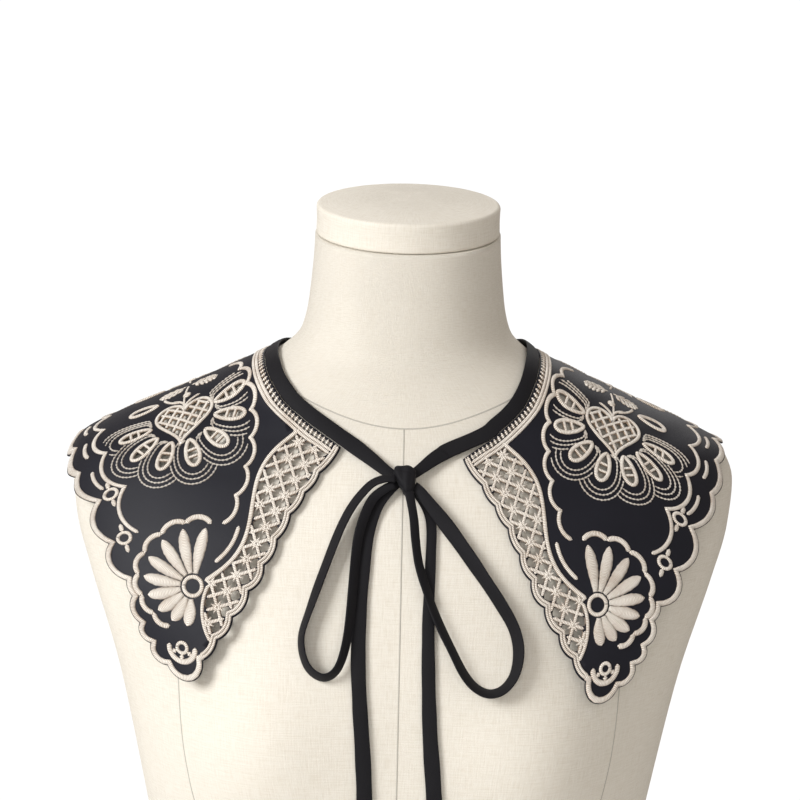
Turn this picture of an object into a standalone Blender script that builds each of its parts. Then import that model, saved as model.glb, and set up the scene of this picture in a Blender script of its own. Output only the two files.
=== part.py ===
# A cutwork collar scarf tied with bias ties, worn by a limbless neck and torso dress form.
# Metres, +Z up. The front faces -Y, and the form stands with its flat base at z = 0.
# The cloth is drawn flat, as a paper pattern in millimetres, and laid over the shoulders.

import math

import bpy
import numpy as np
from mathutils.geometry import delaunay_2d_cdt

MM = 0.001
SEAM_GAP = 0.3 * MM

CLOTH_WALL = 1.2 * MM
STITCH_RELIEF = 0.7 * MM
CLOTH_LIFT = 1.1 * MM
NECK_LIFT = 0.9 * MM
NECK_LIFT_FADE = 12.0

TIE_WALL = 1.6 * MM
BINDING_WIDTH = 8.6 * MM
BINDING_LIFT = 2.6 * MM
BINDING_SEAM = 0.7 * MM
NECK_STATIONS = 23

FORM_SEGMENTS = 40
FORM_RING_HEIGHTS_MM = (
    list(range(0, 480, 30)) + list(range(480, 560, 16)) + list(range(560, 660, 10)) + [660]
)
NECK_TILT_START = 0.660

# Horizontal sections of the form: height, half width, depth in front of and behind the
# axis, and fullness, which is 2 for an ellipse and more for a squarer section.
FORM_COLUMNS = ("height", "half_width", "front", "back", "fullness")
FORM_SECTIONS = [
    (0.000, 0.150, 0.098, 0.112, 2.20),
    (0.050, 0.168, 0.108, 0.126, 2.20),
    (0.110, 0.163, 0.108, 0.122, 2.20),
    (0.170, 0.137, 0.098, 0.100, 2.15),
    (0.225, 0.120, 0.090, 0.082, 2.10),
    (0.290, 0.129, 0.096, 0.084, 2.15),
    (0.350, 0.143, 0.107, 0.092, 2.20),
    (0.400, 0.153, 0.113, 0.100, 2.25),
    (0.450, 0.165, 0.111, 0.108, 2.25),
    (0.500, 0.182, 0.100, 0.113, 2.20),
    (0.530, 0.191, 0.088, 0.112, 2.15),
    (0.555, 0.194, 0.074, 0.109, 2.10),
    (0.570, 0.189, 0.064, 0.104, 2.05),
    (0.585, 0.165, 0.055, 0.097, 1.95),
    (0.600, 0.131, 0.0495, 0.0895, 1.90),
    (0.615, 0.098, 0.0475, 0.0815, 1.90),
    (0.628, 0.072, 0.0475, 0.0745, 1.95),
    (0.640, 0.0605, 0.0490, 0.0685, 2.00),
    (0.660, 0.0560, 0.0520, 0.0610, 2.05),
    (0.700, 0.0530, 0.0575, 0.0525, 2.10),
    (0.730, 0.0530, 0.0600, 0.0500, 2.10),
]
# The cloth bridges the shoulder tips instead of hugging them, so the surface that carries
# it is a little wider there than the form: half width and fullness up to each height.
BRIDGE_COLUMNS = ("height", "half_width", "fullness")
BRIDGE_SECTIONS = [
    (0.450, 0.205, 2.25),
    (0.500, 0.204, 2.50),
    (0.530, 0.202, 2.40),
    (0.555, 0.198, 2.30),
    (0.570, 0.191, 2.20),
    (0.585, 0.165, 2.10),
]
BRIDGE_TOP = 0.600

CHEST = {"rise": 0.013, "apart": 0.080, "height": 0.418, "width": 0.042, "depth": 0.048}

NECK_CAP = {
    "base": (0.0, -0.0006, 0.6964),
    "tilt": math.radians(10.0),
    "half_width": 0.0525,
    "half_depth": 0.0545,
    "thickness": 0.0169,
    "crown": 0.004,
    "edge": 0.002,
}
CAP_SEGMENTS = 36

# The chart that lays the pattern on the shoulders: across is x, and along is the distance
# over the shoulder crest, measured at x = 0.12, positive towards the front.
CHART_AXIS = {"y": 0.008, "z": 0.500}
CHART_REFERENCE = 0.120
CHART_REACH = 0.240

# The neck edge, from the front corner over the shoulder to the centre back.
# Columns: across and along, in mm.
NECK_EDGE = [
    (34.6, 79.6),
    (43.0, 73.8),
    (51.0, 68.6),
    (59.0, 62.2),
    (67.0, 54.6),
    (73.5, 45.6),
    (78.0, 35.0),
    (80.2, 22.0),
    (80.0, 8.0),
    (77.6, -6.0),
    (72.4, -20.0),
    (63.0, -34.0),
    (50.0, -46.0),
    (34.0, -54.6),
    (17.0, -59.0),
    (0.0, -60.0),
]
# The scalloped hem, from the front corner down the front edge, round the point, up the
# outer edge, over the shoulder and round the back. Columns: across and along, in mm, and
# bulge, the height of the scallop that follows as a share of its chord.
HEM_CUSPS = [
    (34.6, 79.6, 0.06),
    (45.5, 93.0, 0.10),
    (53.0, 103.6, 0.10),
    (60.5, 114.8, 0.10),
    (67.2, 127.6, 0.13),
    (73.8, 140.6, 0.17),
    (81.6, 153.8, 0.15),
    (90.0, 167.0, 0.15),
    (97.8, 178.8, 0.12),
    (105.5, 190.0, 0.43),
    (125.0, 197.0, 0.27),
    (135.0, 187.0, 0.25),
    (141.5, 176.5, 0.20),
    (146.3, 161.3, 0.10),
    (150.0, 152.4, 0.24),
    (161.5, 129.0, 0.20),
    (171.5, 97.0, 0.15),
    (185.5, 65.0, 0.11),
    (190.5, 33.0, 0.12),
    (190.5, -1.0, 0.14),
    (187.0, -36.0, 0.16),
    (177.0, -68.0, 0.20),
    (159.0, -97.0, 0.23),
    (134.0, -122.0, 0.25),
    (105.0, -141.0, 0.26),
    (77.5, -154.0, 0.26),
    (51.0, -163.0, 0.26),
    (25.5, -168.0, 0.26),
    (0.0, -169.5, 0.25),
]
# The inner satin line follows the hem at an inset, from one of its outer cusps to the back.
INNER_LINE = {"first_cusp": 15, "inset": 18.0, "bulge": 0.21}
# The line between the plain ground and the square net, from the neck to the big flower: a
# straight way with one full sine swing to either side.
NET_LINE = {"start": (58.0, 69.5), "end": (106.0, 149.5), "swing": 7.0, "count": 18}
# The square net: the middle of one cell, the steps to the next cell both ways, and the
# share of those steps that is open.
NET = {"cell": (76.4, 125.4), "step": (6.95, 2.25), "rise": (-2.0, 6.0), "open": 0.67, "clear": 3.1}
NET_CORNER = (40.0, 80.5)
# The satin line on the neck side of the heart basket: equal scallops along a circular arc.
FIELD_LINE = {"start": (102.0, 8.0), "end": (98.0, 119.0), "sagitta": 15.0, "scallops": 7}
FIELD_BULGE = 0.22
# The arc that ends the net at the big flower.
NET_FOOT = {"start": (104.0, 151.5), "end": (103.5, 181.0), "sagitta": -4.5, "count": 4}

# The big flower: equal petals fanned in equal steps round its eye. Directions are in degrees
# from straight out, and a petal's length follows a cosine, greatest in the long direction.
FLOWER = {"across": 112.5, "along": 152.7, "ring": 6.1, "petal_half_width": 2.8}
FLOWER_FAN = {"petals": 9, "from": -100.0, "to": 84.0, "length": 26.5, "sway": 5.5, "long": -85.0}
PETAL_FOOT = 1.2
SPINE_END = 0.22
# The scalloped line round the big flower, a little past its petals.
FLOWER_SCALLOPS = {"from": -104.0, "to": 62.0, "lobes": 7, "past": 3.0, "bulge": -0.26}

# Loop petals fanned in equal steps round the heart basket, each with a slot cut in it.
HEART = {"across": 124.5, "along": 49.0}
HEART_FAN = {"petals": 7, "from": 10.0, "to": 200.0, "base": 20.5, "tip": 35.0}
PETAL_SLOT = {"half_width": 2.8, "rim": 2.0, "rim_ends": 0.10}
BACK_MOTIF_SHIFT = 20.0

# Stitched round rings on the whole cloth: two inside cusps of the hem, and one at the point.
WHEELS = {"cusps": (15, 16), "inset": 9.5, "ring": 4.7}
TIP_RING = {"across": 117.0, "along": 185.5, "ring": 3.7}

RING_HOLLOW = 0.72
BORDER_WIDTH = 3.2
BACK_SEAM_INSET = 0.2
SATIN_WIDTH = 2.4
NECK_SATIN_INSET = 4.6
RELIEF_STEP = 0.4
PATTERN_GRID = 17.0
SCALLOP_STEPS = 4
LONG_SCALLOP = math.radians(115.0)

# The right half sits a little closer in and lower on the front, as the tie has pulled it,
# and it slips further down towards its outer edge.
RIGHT_PULL = {"share": 0.055, "drop": 5.0 * MM, "from": -0.08, "to": 0.04}
RIGHT_SLIP = {"drop": 9.0 * MM, "from": 0.13, "over": 0.05}

# Routes of the ties over the chest, from the knot or to it, set by eye. Columns: x, z, the
# width, and the lift off the form, in mm. The part of a route inside the knot is left out.
KNOT = {"x": 0.0005, "z": 0.5635, "lift": 7.0 * MM, "size": (0.0074, 0.0052, 0.0086), "clear": 1.5 * MM}
KNOT_POWER = 3.4
LEAD_LEFT = [(-27.0, 579.6, 8.8, 2.9), (-17.0, 573.4, 8.0, 4.0), (-8.8, 568.4, 5.8, 5.6), (-2.0, 565.0, 5.0, 6.4)]
LEAD_RIGHT = [(25.0, 579.2, 8.8, 2.9), (16.5, 574.6, 8.0, 4.0), (8.6, 569.2, 5.8, 5.6), (3.0, 565.4, 5.0, 6.4)]
LOOP_LEFT = [
    (-2.0, 565.6, 4.6, 9.4),
    (-9.0, 565.6, 4.6, 9.4),
    (-17.0, 563.0, 5.0, 8.2),
    (-26.0, 553.0, 5.6, 6.4),
    (-33.0, 540.0, 6.4, 5.2),
    (-40.0, 522.0, 7.4, 4.2),
    (-48.5, 499.0, 8.0, 3.0),
    (-53.0, 482.0, 8.4, 2.6),
    (-49.5, 468.0, 8.4, 2.6),
    (-41.0, 462.5, 8.4, 2.6),
    (-33.0, 466.5, 7.8, 3.2),
    (-28.5, 480.0, 6.4, 4.4),
    (-27.2, 500.0, 5.4, 4.4),
    (-26.8, 522.0, 5.0, 4.6),
    (-25.0, 540.0, 4.8, 5.0),
    (-18.0, 555.0, 4.6, 6.2),
    (-9.4, 560.6, 4.4, 6.8),
    (-2.0, 563.0, 4.4, 6.8),
]
TAIL_LEFT = [
    (-1.0, 562.4, 5.0, 4.2),
    (-7.2, 557.0, 5.0, 3.8),
    (-13.4, 550.0, 6.2, 2.6),
    (-18.2, 538.0, 7.2, 1.9),
    (-20.4, 520.0, 7.6, 1.9),
    (-22.0, 496.0, 7.8, 1.9),
    (-22.0, 470.0, 8.0, 1.9),
    (-20.6, 446.0, 8.2, 1.9),
    (-18.6, 420.0, 8.4, 1.9),
    (-17.4, 395.0, 8.6, 1.9),
    (-18.4, 366.0, 8.6, 1.9),
    (-21.0, 340.0, 8.6, 1.9),
]
LOOP_RIGHT = [
    (2.0, 564.0, 4.6, 6.8),
    (8.2, 560.8, 4.8, 6.8),
    (15.0, 553.5, 6.0, 6.0),
    (24.0, 545.5, 7.2, 4.6),
    (34.0, 535.0, 8.0, 3.4),
    (45.0, 521.5, 8.2, 2.6),
    (56.0, 506.5, 8.4, 2.4),
    (63.0, 493.5, 8.4, 2.4),
    (65.5, 480.5, 8.4, 2.4),
    (63.5, 468.0, 8.4, 2.4),
    (57.5, 460.0, 8.4, 2.4),
    (49.0, 457.5, 8.4, 2.4),
    (41.0, 460.5, 8.2, 2.6),
    (34.5, 467.0, 7.6, 3.2),
    (28.0, 478.5, 6.6, 4.4),
    (22.0, 491.0, 5.8, 4.4),
    (16.5, 505.5, 5.4, 4.4),
    (11.2, 520.0, 5.2, 5.0),
    (8.4, 534.0, 5.0, 6.4),
    (6.6, 545.0, 4.8, 8.4),
    (4.6, 553.6, 4.6, 9.4),
    (2.6, 561.0, 4.6, 9.4),
]
TAIL_RIGHT = [
    (2.0, 562.0, 4.4, 4.0),
    (8.0, 555.6, 4.4, 3.4),
    (13.2, 549.0, 5.0, 2.2),
    (15.8, 541.0, 5.4, 1.9),
    (15.8, 526.0, 5.8, 1.9),
    (15.2, 504.0, 6.2, 1.9),
    (15.2, 484.0, 6.8, 1.9),
    (16.0, 459.0, 7.6, 1.9),
    (17.4, 433.0, 8.2, 1.9),
    (19.8, 405.0, 8.6, 1.9),
    (21.4, 378.0, 8.6, 1.9),
    (20.6, 350.0, 8.6, 1.9),
]

LINEN = ((0.80, 0.76, 0.66, 1.0), 0.85)
NAVY_SATIN = ((0.016, 0.017, 0.026, 1.0), 0.42)
BLACK_CREPE = ((0.010, 0.010, 0.013, 1.0), 0.70)


def clear_scene():
    for old in list(bpy.data.objects):
        bpy.data.objects.remove(old, do_unlink=True)


def column(rows, names, name):
    return np.array([row[names.index(name)] for row in rows], float)


def smooth_step(values):
    t = np.clip(values, 0.0, 1.0)
    return t * t * (3.0 - 2.0 * t)


def monotone(stations, values, at):
    """A smooth curve through the stations that never overshoots them."""
    at = np.clip(at, stations[0], stations[-1])
    step = np.diff(stations)
    rate = np.diff(values) / step
    slope = np.empty(len(values))
    slope[0] = rate[0]
    slope[-1] = rate[-1]
    left = 2 * step[1:] + step[:-1]
    right = step[1:] + 2 * step[:-1]
    same_way = rate[:-1] * rate[1:] > 0
    safe = np.where(same_way, rate[:-1], 1.0)
    after = np.where(same_way, rate[1:], 1.0)
    slope[1:-1] = np.where(same_way, (left + right) / (left / safe + right / after), 0.0)
    i = np.clip(np.searchsorted(stations, at) - 1, 0, len(step) - 1)
    t = (at - stations[i]) / step[i]
    start = values[i] * (1 + 2 * t) + slope[i] * step[i] * t
    end = values[i + 1] * (3 - 2 * t) - slope[i + 1] * step[i] * (1 - t)
    return start * (1 - t) ** 2 + end * t**2


def sections(bridged):
    """The section table as columns, with the cloth's bridge over the shoulder tips if asked."""
    table = {name: column(FORM_SECTIONS, FORM_COLUMNS, name) for name in FORM_COLUMNS}
    if bridged:
        low = table["height"] < BRIDGE_TOP
        heights = column(BRIDGE_SECTIONS, BRIDGE_COLUMNS, "height")
        for name in ("half_width", "fullness"):
            wider = np.interp(table["height"], heights, column(BRIDGE_SECTIONS, BRIDGE_COLUMNS, name))
            table[name] = np.where(low, np.maximum(wider, table[name]), table[name])
    return table


FORM_TABLE = sections(False)
BRIDGE_TABLE = sections(True)


def outside(points, table):
    """Below 0 inside the form, 0 on its surface and above 0 outside."""
    x, y, z = points[..., 0], points[..., 1], points[..., 2]
    shape = {name: monotone(table["height"], table[name], z) for name in FORM_COLUMNS[1:]}
    middle = (shape["back"] - shape["front"]) / 2
    half_depth = (shape["back"] + shape["front"]) / 2
    across = (np.abs(x) - CHEST["apart"]) / CHEST["width"]
    up = (z - CHEST["height"]) / CHEST["depth"]
    mound = CHEST["rise"] * np.exp(-(across**2) - up**2)
    y = y + mound * smooth_step((middle - y) / half_depth)
    power = shape["fullness"]
    radius = np.abs(x / shape["half_width"]) ** power + np.abs((y - middle) / half_depth) ** power
    return radius ** (1 / power) - 1


def outermost(start, direction, reach, table):
    """Where rays last leave the form."""
    steps = np.linspace(0.0, reach, 61)
    inside = [outside(start + direction * far, table) < 0 for far in steps]
    last = len(steps) - 1 - np.argmax(np.array(inside)[::-1], axis=0)
    low = steps[last]
    high = low + steps[1]
    for _ in range(30):
        middle = (low + high) / 2
        within = outside(start + direction * middle[..., None], table) < 0
        low = np.where(within, middle, low)
        high = np.where(within, high, middle)
    return start + direction * low[..., None]


def normals(points, table):
    h = 0.0001
    slope = [outside(points + h * axis, table) - outside(points - h * axis, table) for axis in np.eye(3)]
    slope = np.stack(slope, axis=-1)
    return slope / np.linalg.norm(slope, axis=-1, keepdims=True)


def over_crest(across, turn):
    start = np.stack(
        [across, np.full_like(across, CHART_AXIS["y"]), np.full_like(across, CHART_AXIS["z"])], axis=-1
    )
    direction = np.stack([np.zeros_like(turn), -np.sin(turn), np.cos(turn)], axis=-1)
    return outermost(start, direction, CHART_REACH, BRIDGE_TABLE)


CHART_TURNS = np.radians(np.linspace(-150.0, 150.0, 601))
CREST_WALK = over_crest(np.full(601, CHART_REFERENCE), CHART_TURNS)
WALKED = np.concatenate([[0.0], np.cumsum(np.linalg.norm(np.diff(CREST_WALK, axis=0), axis=1))])
CHART_ALONG = WALKED - WALKED[np.argmax(CREST_WALK[:, 2])]


def on_shoulders(pattern, side, lift):
    """Pattern points in metres, (across, along), laid over the shoulders of one side."""
    across, along = pattern[..., 0], pattern[..., 1]
    if side > 0:
        pull = smooth_step((along - RIGHT_PULL["from"]) / (RIGHT_PULL["to"] - RIGHT_PULL["from"]))
        slip = smooth_step((across - RIGHT_SLIP["from"]) / RIGHT_SLIP["over"])
        across = across * (1 - RIGHT_PULL["share"] * pull)
        along = along + (RIGHT_PULL["drop"] + RIGHT_SLIP["drop"] * slip) * pull
    surface = over_crest(side * across, np.interp(along, CHART_ALONG, CHART_TURNS))
    normal = normals(surface, BRIDGE_TABLE)
    return surface + normal * np.asarray(lift)[..., None], normal


def on_chest(x, z, lift):
    """Points on the front of the form at x and z, lifted off it."""
    start = np.stack([x, np.zeros_like(x), z], axis=-1)
    surface = outermost(start, np.array([0.0, -1.0, 0.0]), 0.2, FORM_TABLE)
    normal = normals(surface, FORM_TABLE)
    return surface + normal * lift[:, None], normal


def smooth_route(rows, count):
    """Evenly spaced points on a Catmull-Rom curve through the rows."""
    rows = np.asarray(rows, float)
    padded = np.vstack([2 * rows[0] - rows[1], rows, 2 * rows[-1] - rows[-2]])
    t = np.linspace(0, 1, 13)[:-1, None]
    pieces = []
    for a, b, c, d in zip(padded, padded[1:], padded[2:], padded[3:]):
        pieces.append(
            0.5 * (2 * b + (c - a) * t + (2 * a - 5 * b + 4 * c - d) * t**2 + (3 * b - a - 3 * c + d) * t**3)
        )
    fine = np.vstack(pieces + [rows[-1:]])
    walked = np.concatenate([[0], np.cumsum(np.linalg.norm(np.diff(fine[:, :2], axis=0), axis=1))])
    even = np.linspace(0, walked[-1], count)
    return np.stack([np.interp(even, walked, fine[:, k]) for k in range(fine.shape[1])], axis=-1)


def scalloped(cusps):
    """The outline through the cusps, with a circular arc bulging to the left of each step."""
    points = []
    for (u0, v0, bulge), (u1, v1, _) in zip(cusps, cusps[1:]):
        chord = np.array([u1 - u0, v1 - v0])
        out = np.array([-chord[1], chord[0]])
        radius = (0.25 + bulge**2) / (2 * bulge)
        half_turn = math.asin(0.5 / radius)
        steps = SCALLOP_STEPS + int(2 * abs(half_turn) / LONG_SCALLOP)
        for turn in np.linspace(-half_turn, half_turn, steps + 1)[:-1]:
            along = 0.5 + radius * math.sin(turn)
            rise = radius * (math.cos(turn) - math.cos(half_turn))
            points.append(np.array([u0, v0]) + chord * along + out * rise)
    points.append(np.array(cusps[-1][:2], float))
    return np.array(points)


def beside(points, distance, closed=False):
    """The polyline moved to its left by the distance, with mitred corners."""
    if closed:
        before = points - np.roll(points, 1, axis=0)
        after = np.roll(points, -1, axis=0) - points
    else:
        step = np.diff(points, axis=0)
        before = np.vstack([step[:1], step])
        after = np.vstack([step, step[-1:]])
    before = before / np.linalg.norm(before, axis=1, keepdims=True)
    after = after / np.linalg.norm(after, axis=1, keepdims=True)
    left = np.stack([-(before + after)[:, 1], (before + after)[:, 0]], axis=-1)
    length = np.maximum(np.linalg.norm(left, axis=1, keepdims=True), 1e-9)
    stretch = np.minimum(2 / length, 1.6)
    return points + left / length * distance * stretch


def contains(loop, points):
    """Even-odd test of points in a closed loop."""
    found = np.zeros(len(points), bool)
    for (u0, v0), (u1, v1) in zip(loop, np.roll(loop, -1, axis=0)):
        spans = (v0 > points[:, 1]) != (v1 > points[:, 1])
        if v0 != v1:
            found ^= spans & (points[:, 0] < (u1 - u0) * (points[:, 1] - v0) / (v1 - v0) + u0)
    return found


def distance_to(line, points):
    """Distance from each point to the nearest stretch of a polyline."""
    nearest = np.full(len(points), np.inf)
    for a, b in zip(line, line[1:]):
        step = b - a
        t = np.clip((points - a) @ step / max(step @ step, 1e-12), 0, 1)
        nearest = np.minimum(nearest, np.linalg.norm(points - a - t[:, None] * step, axis=1))
    return nearest


def ring(centre, radius, count, turn=0.0):
    angles = turn + np.arange(count) * 2 * math.pi / count
    return np.array(centre) + radius * np.stack([np.cos(angles), np.sin(angles)], axis=-1)


def leaf(base, tip, half_width, count):
    """A closed pointed oval from base to tip."""
    base, tip = np.array(base), np.array(tip)
    axis = tip - base
    side = np.array([-axis[1], axis[0]]) / np.linalg.norm(axis)
    turns = np.arange(count) * 2 * math.pi / count
    along = 0.5 - 0.5 * np.cos(turns)
    wide = np.sin(turns) * (0.75 + 0.35 * along)
    return base + along[:, None] * axis + wide[:, None] * side * half_width


def polar(centre, degrees, radius):
    angle = math.radians(degrees)
    return (
        centre["across"] + radius * math.cos(angle),
        centre["along"] + radius * math.sin(angle),
    )


def arc(start, end, sagitta, count):
    """Places along a circular arc that bulges to the left of the way from start to end."""
    start, end = np.array(start), np.array(end)
    chord = end - start
    out = np.array([-chord[1], chord[0]])
    share = sagitta / np.linalg.norm(chord)
    radius = (0.25 + share**2) / (2 * share)
    half_turn = math.asin(0.5 / radius)
    turns = np.linspace(-half_turn, half_turn, count + 1)
    along = 0.5 + radius * np.sin(turns)
    rise = radius * (np.cos(turns) - math.cos(half_turn))
    return start + chord * along[:, None] + out * rise[:, None]


def with_bulge(places, bulge):
    """Rows for scalloped: the places as cusps, all with the same bulge."""
    return [(across, along, bulge) for across, along in places]


def inside_hem_cusps(inset):
    """The cusps of the hem moved into the cloth."""
    return beside(np.array(HEM_CUSPS)[:, :2], -inset)


def net_route():
    """The neck side of the square net."""
    start, end = np.array(NET_LINE["start"]), np.array(NET_LINE["end"])
    way = end - start
    right = np.array([way[1], -way[0]]) / np.linalg.norm(way)
    share = np.linspace(0.0, 1.0, NET_LINE["count"] + 1)[:, None]
    return start + way * share + right * NET_LINE["swing"] * np.sin(2 * math.pi * share)


def petal_length(direction):
    """How far a petal of the big flower reaches from the flower's centre."""
    turn = math.radians(direction - FLOWER_FAN["long"])
    return FLOWER_FAN["length"] + FLOWER_FAN["sway"] * math.cos(turn)


def flower_scallops():
    """The scalloped line round the big flower."""
    line = FLOWER_SCALLOPS
    turns = np.linspace(line["from"], line["to"], line["lobes"] + 1)
    cusps = [polar(FLOWER, turn, petal_length(turn) + line["past"]) for turn in turns]
    return scalloped(with_bulge(cusps, line["bulge"]))


def net_openings(hem):
    """Square openings of the net between its line and the front edge."""
    front = [row[:2] for row in HEM_CUSPS[:9]]
    foot = arc(NET_FOOT["start"], NET_FOOT["end"], NET_FOOT["sagitta"], NET_FOOT["count"])
    field = np.array([NET_CORNER, *net_route(), *foot, *front[::-1]])
    step, rise = np.array(NET["step"]), np.array(NET["rise"])
    count = np.arange(-14, 15)
    middles = np.array(NET["cell"]) + count[:, None, None] * step + count[:, None] * rise
    middles = middles.reshape(-1, 2)
    outline = np.vstack([field, field[:1]])
    kept = contains(field, middles) & (distance_to(outline, middles) > NET["clear"])
    kept &= distance_to(hem, middles) > BORDER_WIDTH + NET["open"] * np.linalg.norm(step) / 2
    corners = np.array([-step - rise, step - rise, step + rise, rise - step]) * NET["open"] / 2
    return [middle + corners for middle in middles[kept]]


def mirrored_back(points):
    """A front motif repeated behind the crest."""
    return points * np.array([1.0, -1.0]) + np.array([0.0, BACK_MOTIF_SHIFT])


def collar_pattern():
    """The cut outline, its openings, the raised lines and the extra points of one half, in mm."""
    hem = scalloped(HEM_CUSPS)
    neck = smooth_route(NECK_EDGE, NECK_STATIONS)
    shift = BACK_SEAM_INSET
    hem[:, 0] = np.maximum(hem[:, 0], shift)
    neck[:, 0] = np.maximum(neck[:, 0], shift)
    back_seam = np.linspace(hem[-1], neck[-1], 7)[1:-1]
    outline = np.vstack([hem, back_seam, neck[::-1][:-1]])

    border_top = beside(hem, -BORDER_WIDTH)
    border_foot = beside(hem, -BORDER_WIDTH - RELIEF_STEP)
    lines = [border_top[1:-1], border_foot[1:-1]]
    raised = [(hem, BORDER_WIDTH)]

    inner = inside_hem_cusps(INNER_LINE["inset"])[INNER_LINE["first_cusp"]:]
    inner_line = scalloped(with_bulge(inner, INNER_LINE["bulge"]))
    inner_line[:, 0] = np.maximum(inner_line[:, 0], shift)
    neck_satin = beside(neck, NECK_SATIN_INSET)[1:]
    neck_satin[:, 0] = np.maximum(neck_satin[:, 0], shift)
    arch = (FIELD_LINE["start"], FIELD_LINE["end"], FIELD_LINE["sagitta"], FIELD_LINE["scallops"])
    field_line = scalloped(with_bulge(arc(*arch), FIELD_BULGE))
    for satin in (inner_line, neck_satin, net_route(), field_line, flower_scallops()):
        lines += [satin, beside(satin, SATIN_WIDTH / 2), beside(satin, -SATIN_WIDTH / 2)]
        raised.append((satin, 0.0))

    openings = net_openings(hem)
    wheels = inside_hem_cusps(WHEELS["inset"])
    rings = [(*wheels[cusp], WHEELS["ring"]) for cusp in WHEELS["cusps"]]
    rings += [(place["across"], place["along"], place["ring"]) for place in (TIP_RING, FLOWER)]
    for across, along, radius in rings:
        for share in (1.0, RING_HOLLOW):
            rim = ring((across, along), radius * share, 8)
            lines.append(np.vstack([rim, rim[:1]]))
            raised.append((lines[-1], 0.0))
    for direction in np.linspace(HEART_FAN["from"], HEART_FAN["to"], HEART_FAN["petals"]):
        base = np.array(polar(HEART, direction, HEART_FAN["base"]))
        tip = np.array(polar(HEART, direction, HEART_FAN["tip"]))
        more = (tip - base) * PETAL_SLOT["rim_ends"]
        slot = leaf(base, tip, PETAL_SLOT["half_width"], 6)
        rim_width = PETAL_SLOT["half_width"] + PETAL_SLOT["rim"]
        rim = leaf(base - more, tip + more, rim_width, 8)
        for place in (lambda points: points, mirrored_back):
            openings.append(place(slot))
            closed = np.vstack([place(rim), place(rim)[:1]])
            lines.append(closed)
    for direction in np.linspace(FLOWER_FAN["from"], FLOWER_FAN["to"], FLOWER_FAN["petals"]):
        base = polar(FLOWER, direction, FLOWER["ring"] + PETAL_FOOT)
        tip = polar(FLOWER, direction, petal_length(direction))
        petal = leaf(base, tip, FLOWER["petal_half_width"], 6)
        reach = petal[3] - petal[0]
        spine = np.array([petal[0] + reach * SPINE_END, petal[3] - reach * SPINE_END])
        lines += [np.vstack([petal, petal[:1]]), spine]
        raised.append((spine, 0.0))
    return outline, openings, lines, raised


def flat_sheet(outline, openings, lines):
    """The pattern piece cut into triangles: points in mm and faces."""
    low, high = outline.min(axis=0), outline.max(axis=0)
    across = np.arange(low[0] + PATTERN_GRID / 2, high[0], PATTERN_GRID)
    along = np.arange(low[1] + PATTERN_GRID / 2, high[1], PATTERN_GRID)
    grid = np.stack(np.meshgrid(across, along), axis=-1).reshape(-1, 2)
    grid = grid[contains(outline, grid)]
    marks = [np.vstack([loop, loop[:1]]) for loop in [outline] + openings] + list(lines)
    clear = np.ones(len(grid), bool)
    for mark in marks:
        clear &= distance_to(mark, grid) > PATTERN_GRID / 4
    points = [tuple(point) for point in grid[clear]]
    edges = []
    for loop in [outline] + openings:
        first = len(points)
        points += [tuple(point) for point in loop]
        edges += [(first + k, first + (k + 1) % len(loop)) for k in range(len(loop))]
    for line in lines:
        line = line[contains(outline, line)]
        first = len(points)
        points += [tuple(point) for point in line]
        edges += [(first + k, first + k + 1) for k in range(len(line) - 1)]
    cut = delaunay_2d_cdt([tuple(map(float, point)) for point in points], edges, [], 0, 0.05)
    flat = np.array([tuple(point) for point in cut[0]])
    faces = np.array([face for face in cut[2]])
    middles = flat[faces].mean(axis=1)
    kept = contains(outline, middles)
    for loop in openings:
        kept &= ~contains(loop, middles)
    used, faces = np.unique(faces[kept], return_inverse=True)
    return flat[used], faces.reshape(-1, 3)


def relief(flat, openings, raised):
    """1 where the stitching stands up from the cloth, and 0 on the plain ground."""
    share = np.zeros(len(flat))
    for line, reach in raised:
        share[distance_to(line, flat) < reach + RELIEF_STEP / 2] = 1.0
    for loop in openings:
        if len(loop) != 4:
            share[distance_to(np.vstack([loop, loop[:1]]), flat) < RELIEF_STEP / 2] = 1.0
    return share


def new_object(name, points, faces, look, parts):
    mesh = bpy.data.meshes.new(name)
    mesh.from_pydata([tuple(point) for point in points], [], [tuple(map(int, face)) for face in faces])
    mesh.update()
    obj = bpy.data.objects.new(name, mesh)
    parts.objects.link(obj)
    mesh.materials.append(painted(name, look))
    return obj


def painted(name, look):
    colour, roughness = look
    material = bpy.data.materials.new(name)
    material.use_nodes = True
    shader = material.node_tree.nodes["Principled BSDF"]
    shader.inputs["Base Color"].default_value = colour
    shader.inputs["Roughness"].default_value = roughness
    shader.inputs["Metallic"].default_value = 0.0
    return material


def thicken(obj, wall, offset):
    solid = obj.modifiers.new("wall", "SOLIDIFY")
    solid.thickness = wall
    solid.offset = offset
    return solid


def lofted(rings, crowns=(None, None)):
    """Points and faces of a closed body through rings, with flat ends or a point at each end."""
    count = len(rings[0])
    points = list(np.vstack(rings))
    faces = []
    for k in range(len(rings) - 1):
        for j in range(count):
            a = k * count + j
            b = k * count + (j + 1) % count
            faces.append((a, b, b + count, a + count))
    for end, crown in ((0, crowns[0]), (len(rings) - 1, crowns[1])):
        edge = [end * count + j for j in range(count)]
        if end == 0:
            edge.reverse()
        if crown is None:
            faces.append(tuple(edge))
            continue
        tip = len(points)
        points.append(np.array(crown))
        faces += [(edge[j], edge[(j + 1) % count], tip) for j in range(count)]
    return points, faces


def solid_object(name, rings, crowns, look, parts):
    points, faces = lofted(rings, crowns)
    mesh = bpy.data.meshes.new(name)
    mesh.from_pydata([tuple(point) for point in points], [], faces)
    mesh.update()
    mesh.shade_smooth()
    mesh.set_sharp_from_angle(angle=math.radians(40.0))
    obj = bpy.data.objects.new(name, mesh)
    parts.objects.link(obj)
    mesh.materials.append(painted(name, look))
    return obj


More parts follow.
